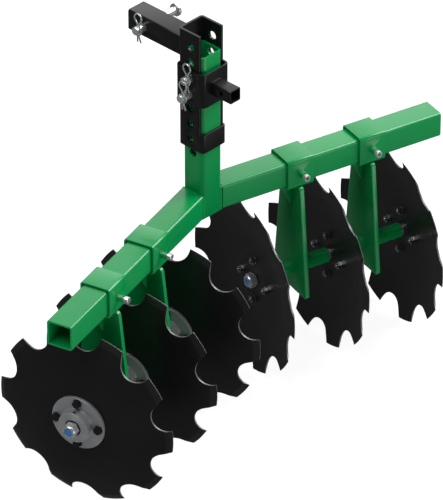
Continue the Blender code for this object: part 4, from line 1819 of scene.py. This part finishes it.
    def _nut(self, node: str, seat: Matrix) -> tuple[Piece, Piece]:
        """Make the axle's lock nut and its nylon insert.

        Args:
            node: a nut of the frame, for its height.
            seat: that nut's axle seat.

        Returns:
            The nut and the insert, pointing outward from the seat.
        """
        low, high = self.guide.extent(node, seat)
        height = high.x - low.x
        crown = height * 0.75
        nut = Bench.hexagon("nut", self.nut_flats, 0.0, crown, 0.0022)
        bore = Bench.bar("bore", self.nut_bore, -0.01, height, 48)
        Bench.combine(nut, bore, Cut.REMOVE)
        collar = Bench.lathe("collar", [
            (crown - 0.001, 0.0102), (crown - 0.001, 0.0146),
            (crown + 0.0008, 0.0144), (height - 0.0026, 0.0137),
            (height - 0.0012, 0.0129), (height - 0.0003, 0.0118),
            (height, 0.0110), (height - 0.0003, 0.0102),
            (height - 0.0014, 0.0099), (crown - 0.001, 0.0102)], 64)
        Bench.take(nut, collar)
        bpy.ops.object.join()
        Bench.shade(nut, TURNED_EDGE)
        insert = Bench.lathe("insert", [
            (crown, 0.0), (crown, 0.0099), (height - 0.0013, 0.0098),
            (height - 0.0008, 0.0092), (height - 0.0017, 0.0056),
            (height - 0.0021, 0.0)], 64)
        Bench.shade(insert, TURNED_EDGE)
        return Bench.move(nut, ALONG_X), Bench.move(insert, ALONG_X)

    def _washer(self) -> Piece:
        """Make the black washer that sits in the outer hub's recess.

        Returns:
            The washer, behind the nut's seat.
        """
        washer = Bench.lathe("washer", [
            (-0.0034, 0.0130), (-0.0034, 0.0180), (-0.0014, 0.0180),
            (-0.0010, 0.0176), (-0.0010, 0.0130), (-0.0034, 0.0130)], 64)
        return Bench.move(Bench.shade(washer, TURNED_EDGE), ALONG_X)

    def _axle(self, side: Side, seat: Matrix) -> None:
        """Turn one axle with its threaded ends.

        Args:
            side: which gang.
            seat: its axle seat.
        """
        node = f"{side.value}_axle"
        low, high = self.guide.extent(node, seat)
        radius, thread, chamfer = high.y, 0.0097, 0.0012
        seated = self.guide.extent(f"{side.value}_inner_axle_nut", seat)[1].x
        profile: list[tuple[float, float]] = [
            (low.x, 0.0), (low.x, thread - chamfer)]
        along = low.x + chamfer
        while along < seated + 0.0002:
            profile += [(along, thread), (along + 0.0009, thread - 0.0008)]
            along += 0.0018
        profile += [(along, radius)]
        mirrored = [(low.x + high.x - x, r) for x, r in reversed(profile)]
        axle = Bench.lathe(f"{node}_bar", profile + mirrored, 48)
        Bench.shade(Bench.move(axle, seat @ ALONG_X), TURNED_EDGE)
        self.yard.deliver(axle, f"{side.value}_gang", Paint.ZINC, node=node)


# ---------------------------------------------------------------------------
# Studio
# ---------------------------------------------------------------------------
@dataclass(frozen=True)
class Lamp:
    """One wide, far lamp that lights everything evenly."""

    name: str
    bearing: float
    lift: float
    spread: float
    power: float

    def toward(self) -> Vector:
        """Give the direction from the harrow to the lamp."""
        turn, lift = math.radians(self.bearing), math.radians(self.lift)
        return Vector((math.cos(turn) * math.cos(lift),
                       math.sin(turn) * math.cos(lift), math.sin(lift)))


@dataclass
class Studio:
    """Glowing white floor, soft light and camera."""

    guide: Guide
    azimuth: float = -46.147
    elevation: float = 34.044
    distance: float = 11.2655
    aim_right: float = 0.04046
    aim_up: float = -0.11283
    lens: float = 425.7
    floor_size: float = 60.0
    floor_glow: float = 0.90
    floor_tone: float = 0.20
    sky: float = 0.10
    lamps: tuple[Lamp, ...] = (
        Lamp("key", -22.0, 40.0, 40.0, 3.0),
        Lamp("edge", -45.0, 58.0, 24.0, 0.5),
        Lamp("sheen", 43.8, 36.0, 60.0, 1.2),
        Lamp("overhead", 165.0, 70.0, 40.0, 1.9),
        Lamp("rim", -77.0, -10.0, 30.0, 0.45),
    )

    def build(self) -> None:
        """Set up the whole studio."""
        self._floor()
        self._light()
        self._camera()

    def _floor(self) -> None:
        """Lay a pale floor, lit from below so that shadows stay faint."""
        Bench.take()
        bpy.ops.mesh.primitive_plane_add(size=self.floor_size,
                                         location=(0.0, 0.0, -0.0006))
        floor = Bench.christen("studio_floor")
        material = bpy.data.materials.new("pale_floor")
        material.use_nodes = True
        sheet = NodeSheet(material.node_tree)
        place = sheet.add("TexCoord").outputs["Object"]
        cloud = sheet.add("TexNoise", {"Vector": place, "Scale": 0.7})
        light, dark = self.floor_tone, self.floor_tone * 0.96
        tone = sheet.add("Mix", {0: cloud.outputs[0],
                                 6: (light, light, light, 1.0),
                                 7: (dark, dark, dark, 1.0)},
                         data_type="RGBA")
        shader = material.node_tree.nodes["Principled BSDF"]
        material.node_tree.links.new(tone.outputs[2],
                                     shader.inputs["Base Color"])
        shader.inputs["Roughness"].default_value = 0.9
        shader.inputs["Specular IOR Level"].default_value = 0.0
        shader.inputs["Emission Color"].default_value = (1.0, 1.0, 1.0, 1.0)
        shader.inputs["Emission Strength"].default_value = self.floor_glow
        floor.data.materials.append(material)
        floor.visible_glossy = False
        floor.visible_shadow = False

    def _light(self) -> None:
        """Hang the lamps and set a sky that looks white but lights little."""
        for lamp in self.lamps:
            light = bpy.data.lights.new(lamp.name, "SUN")
            light.energy = lamp.power
            light.angle = math.radians(lamp.spread)
            holder = bpy.data.objects.new(lamp.name, light)
            holder.location = lamp.toward() * 5.0
            holder.rotation_euler = lamp.toward().to_track_quat(
                "Z", "Y").to_euler()
            bpy.context.scene.collection.objects.link(holder)
        world = bpy.data.worlds.new("studio")
        world.use_nodes = True
        sheet = NodeSheet(world.node_tree)
        seen = sheet.add("LightPath").outputs["Is Camera Ray"]
        strength = sheet.add("MapRange", {0: seen, 1: 0.0, 2: 1.0,
                                          3: self.sky, 4: 1.0})
        sky = world.node_tree.nodes["Background"]
        sky.inputs["Color"].default_value = (1.0, 1.0, 1.0, 1.0)
        world.node_tree.links.new(strength.outputs[0],
                                  sky.inputs["Strength"])
        bpy.context.scene.world = world
        bpy.context.scene.view_settings.view_transform = "Standard"

    def _camera(self) -> None:
        """Place the camera behind, to the left and above."""
        turn, lift = math.radians(self.azimuth), math.radians(self.elevation)
        back = Vector((math.sin(turn) * math.cos(lift),
                       -math.cos(turn) * math.cos(lift), math.sin(lift)))
        right = Vector((math.cos(turn), math.sin(turn), 0.0))
        up = back.cross(right)
        start = Vector((0.0, self.guide.mast_y, self.guide.arm_z))
        data = bpy.data.cameras.new("camera")
        data.lens = self.lens
        data.sensor_width = 36.0
        data.sensor_fit = "HORIZONTAL"
        data.clip_end = 100.0
        camera = bpy.data.objects.new("camera", data)
        camera.matrix_world = Matrix.Translation(
            start + right * self.aim_right + up * self.aim_up
            + back * self.distance) @ Matrix(
                (right, up, back)).transposed().to_4x4()
        bpy.context.scene.collection.objects.link(camera)
        bpy.context.scene.camera = camera


def main() -> None:
    """Load the frame, build every piece and set up the studio."""
    logging.basicConfig(level=logging.INFO, format="%(message)s")
    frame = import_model()
    guide = Guide(frame)
    yard = Yard(PaintShop())
    Studio(guide).build()
    MainFrame(guide, yard).build()
    Hitch(guide, yard).build()
    Shanks(guide, yard).build()
    Gangs(guide, yard).build()
    LOG.info("%d pieces delivered", yard.count)


if __name__ == "__main__":
    main()
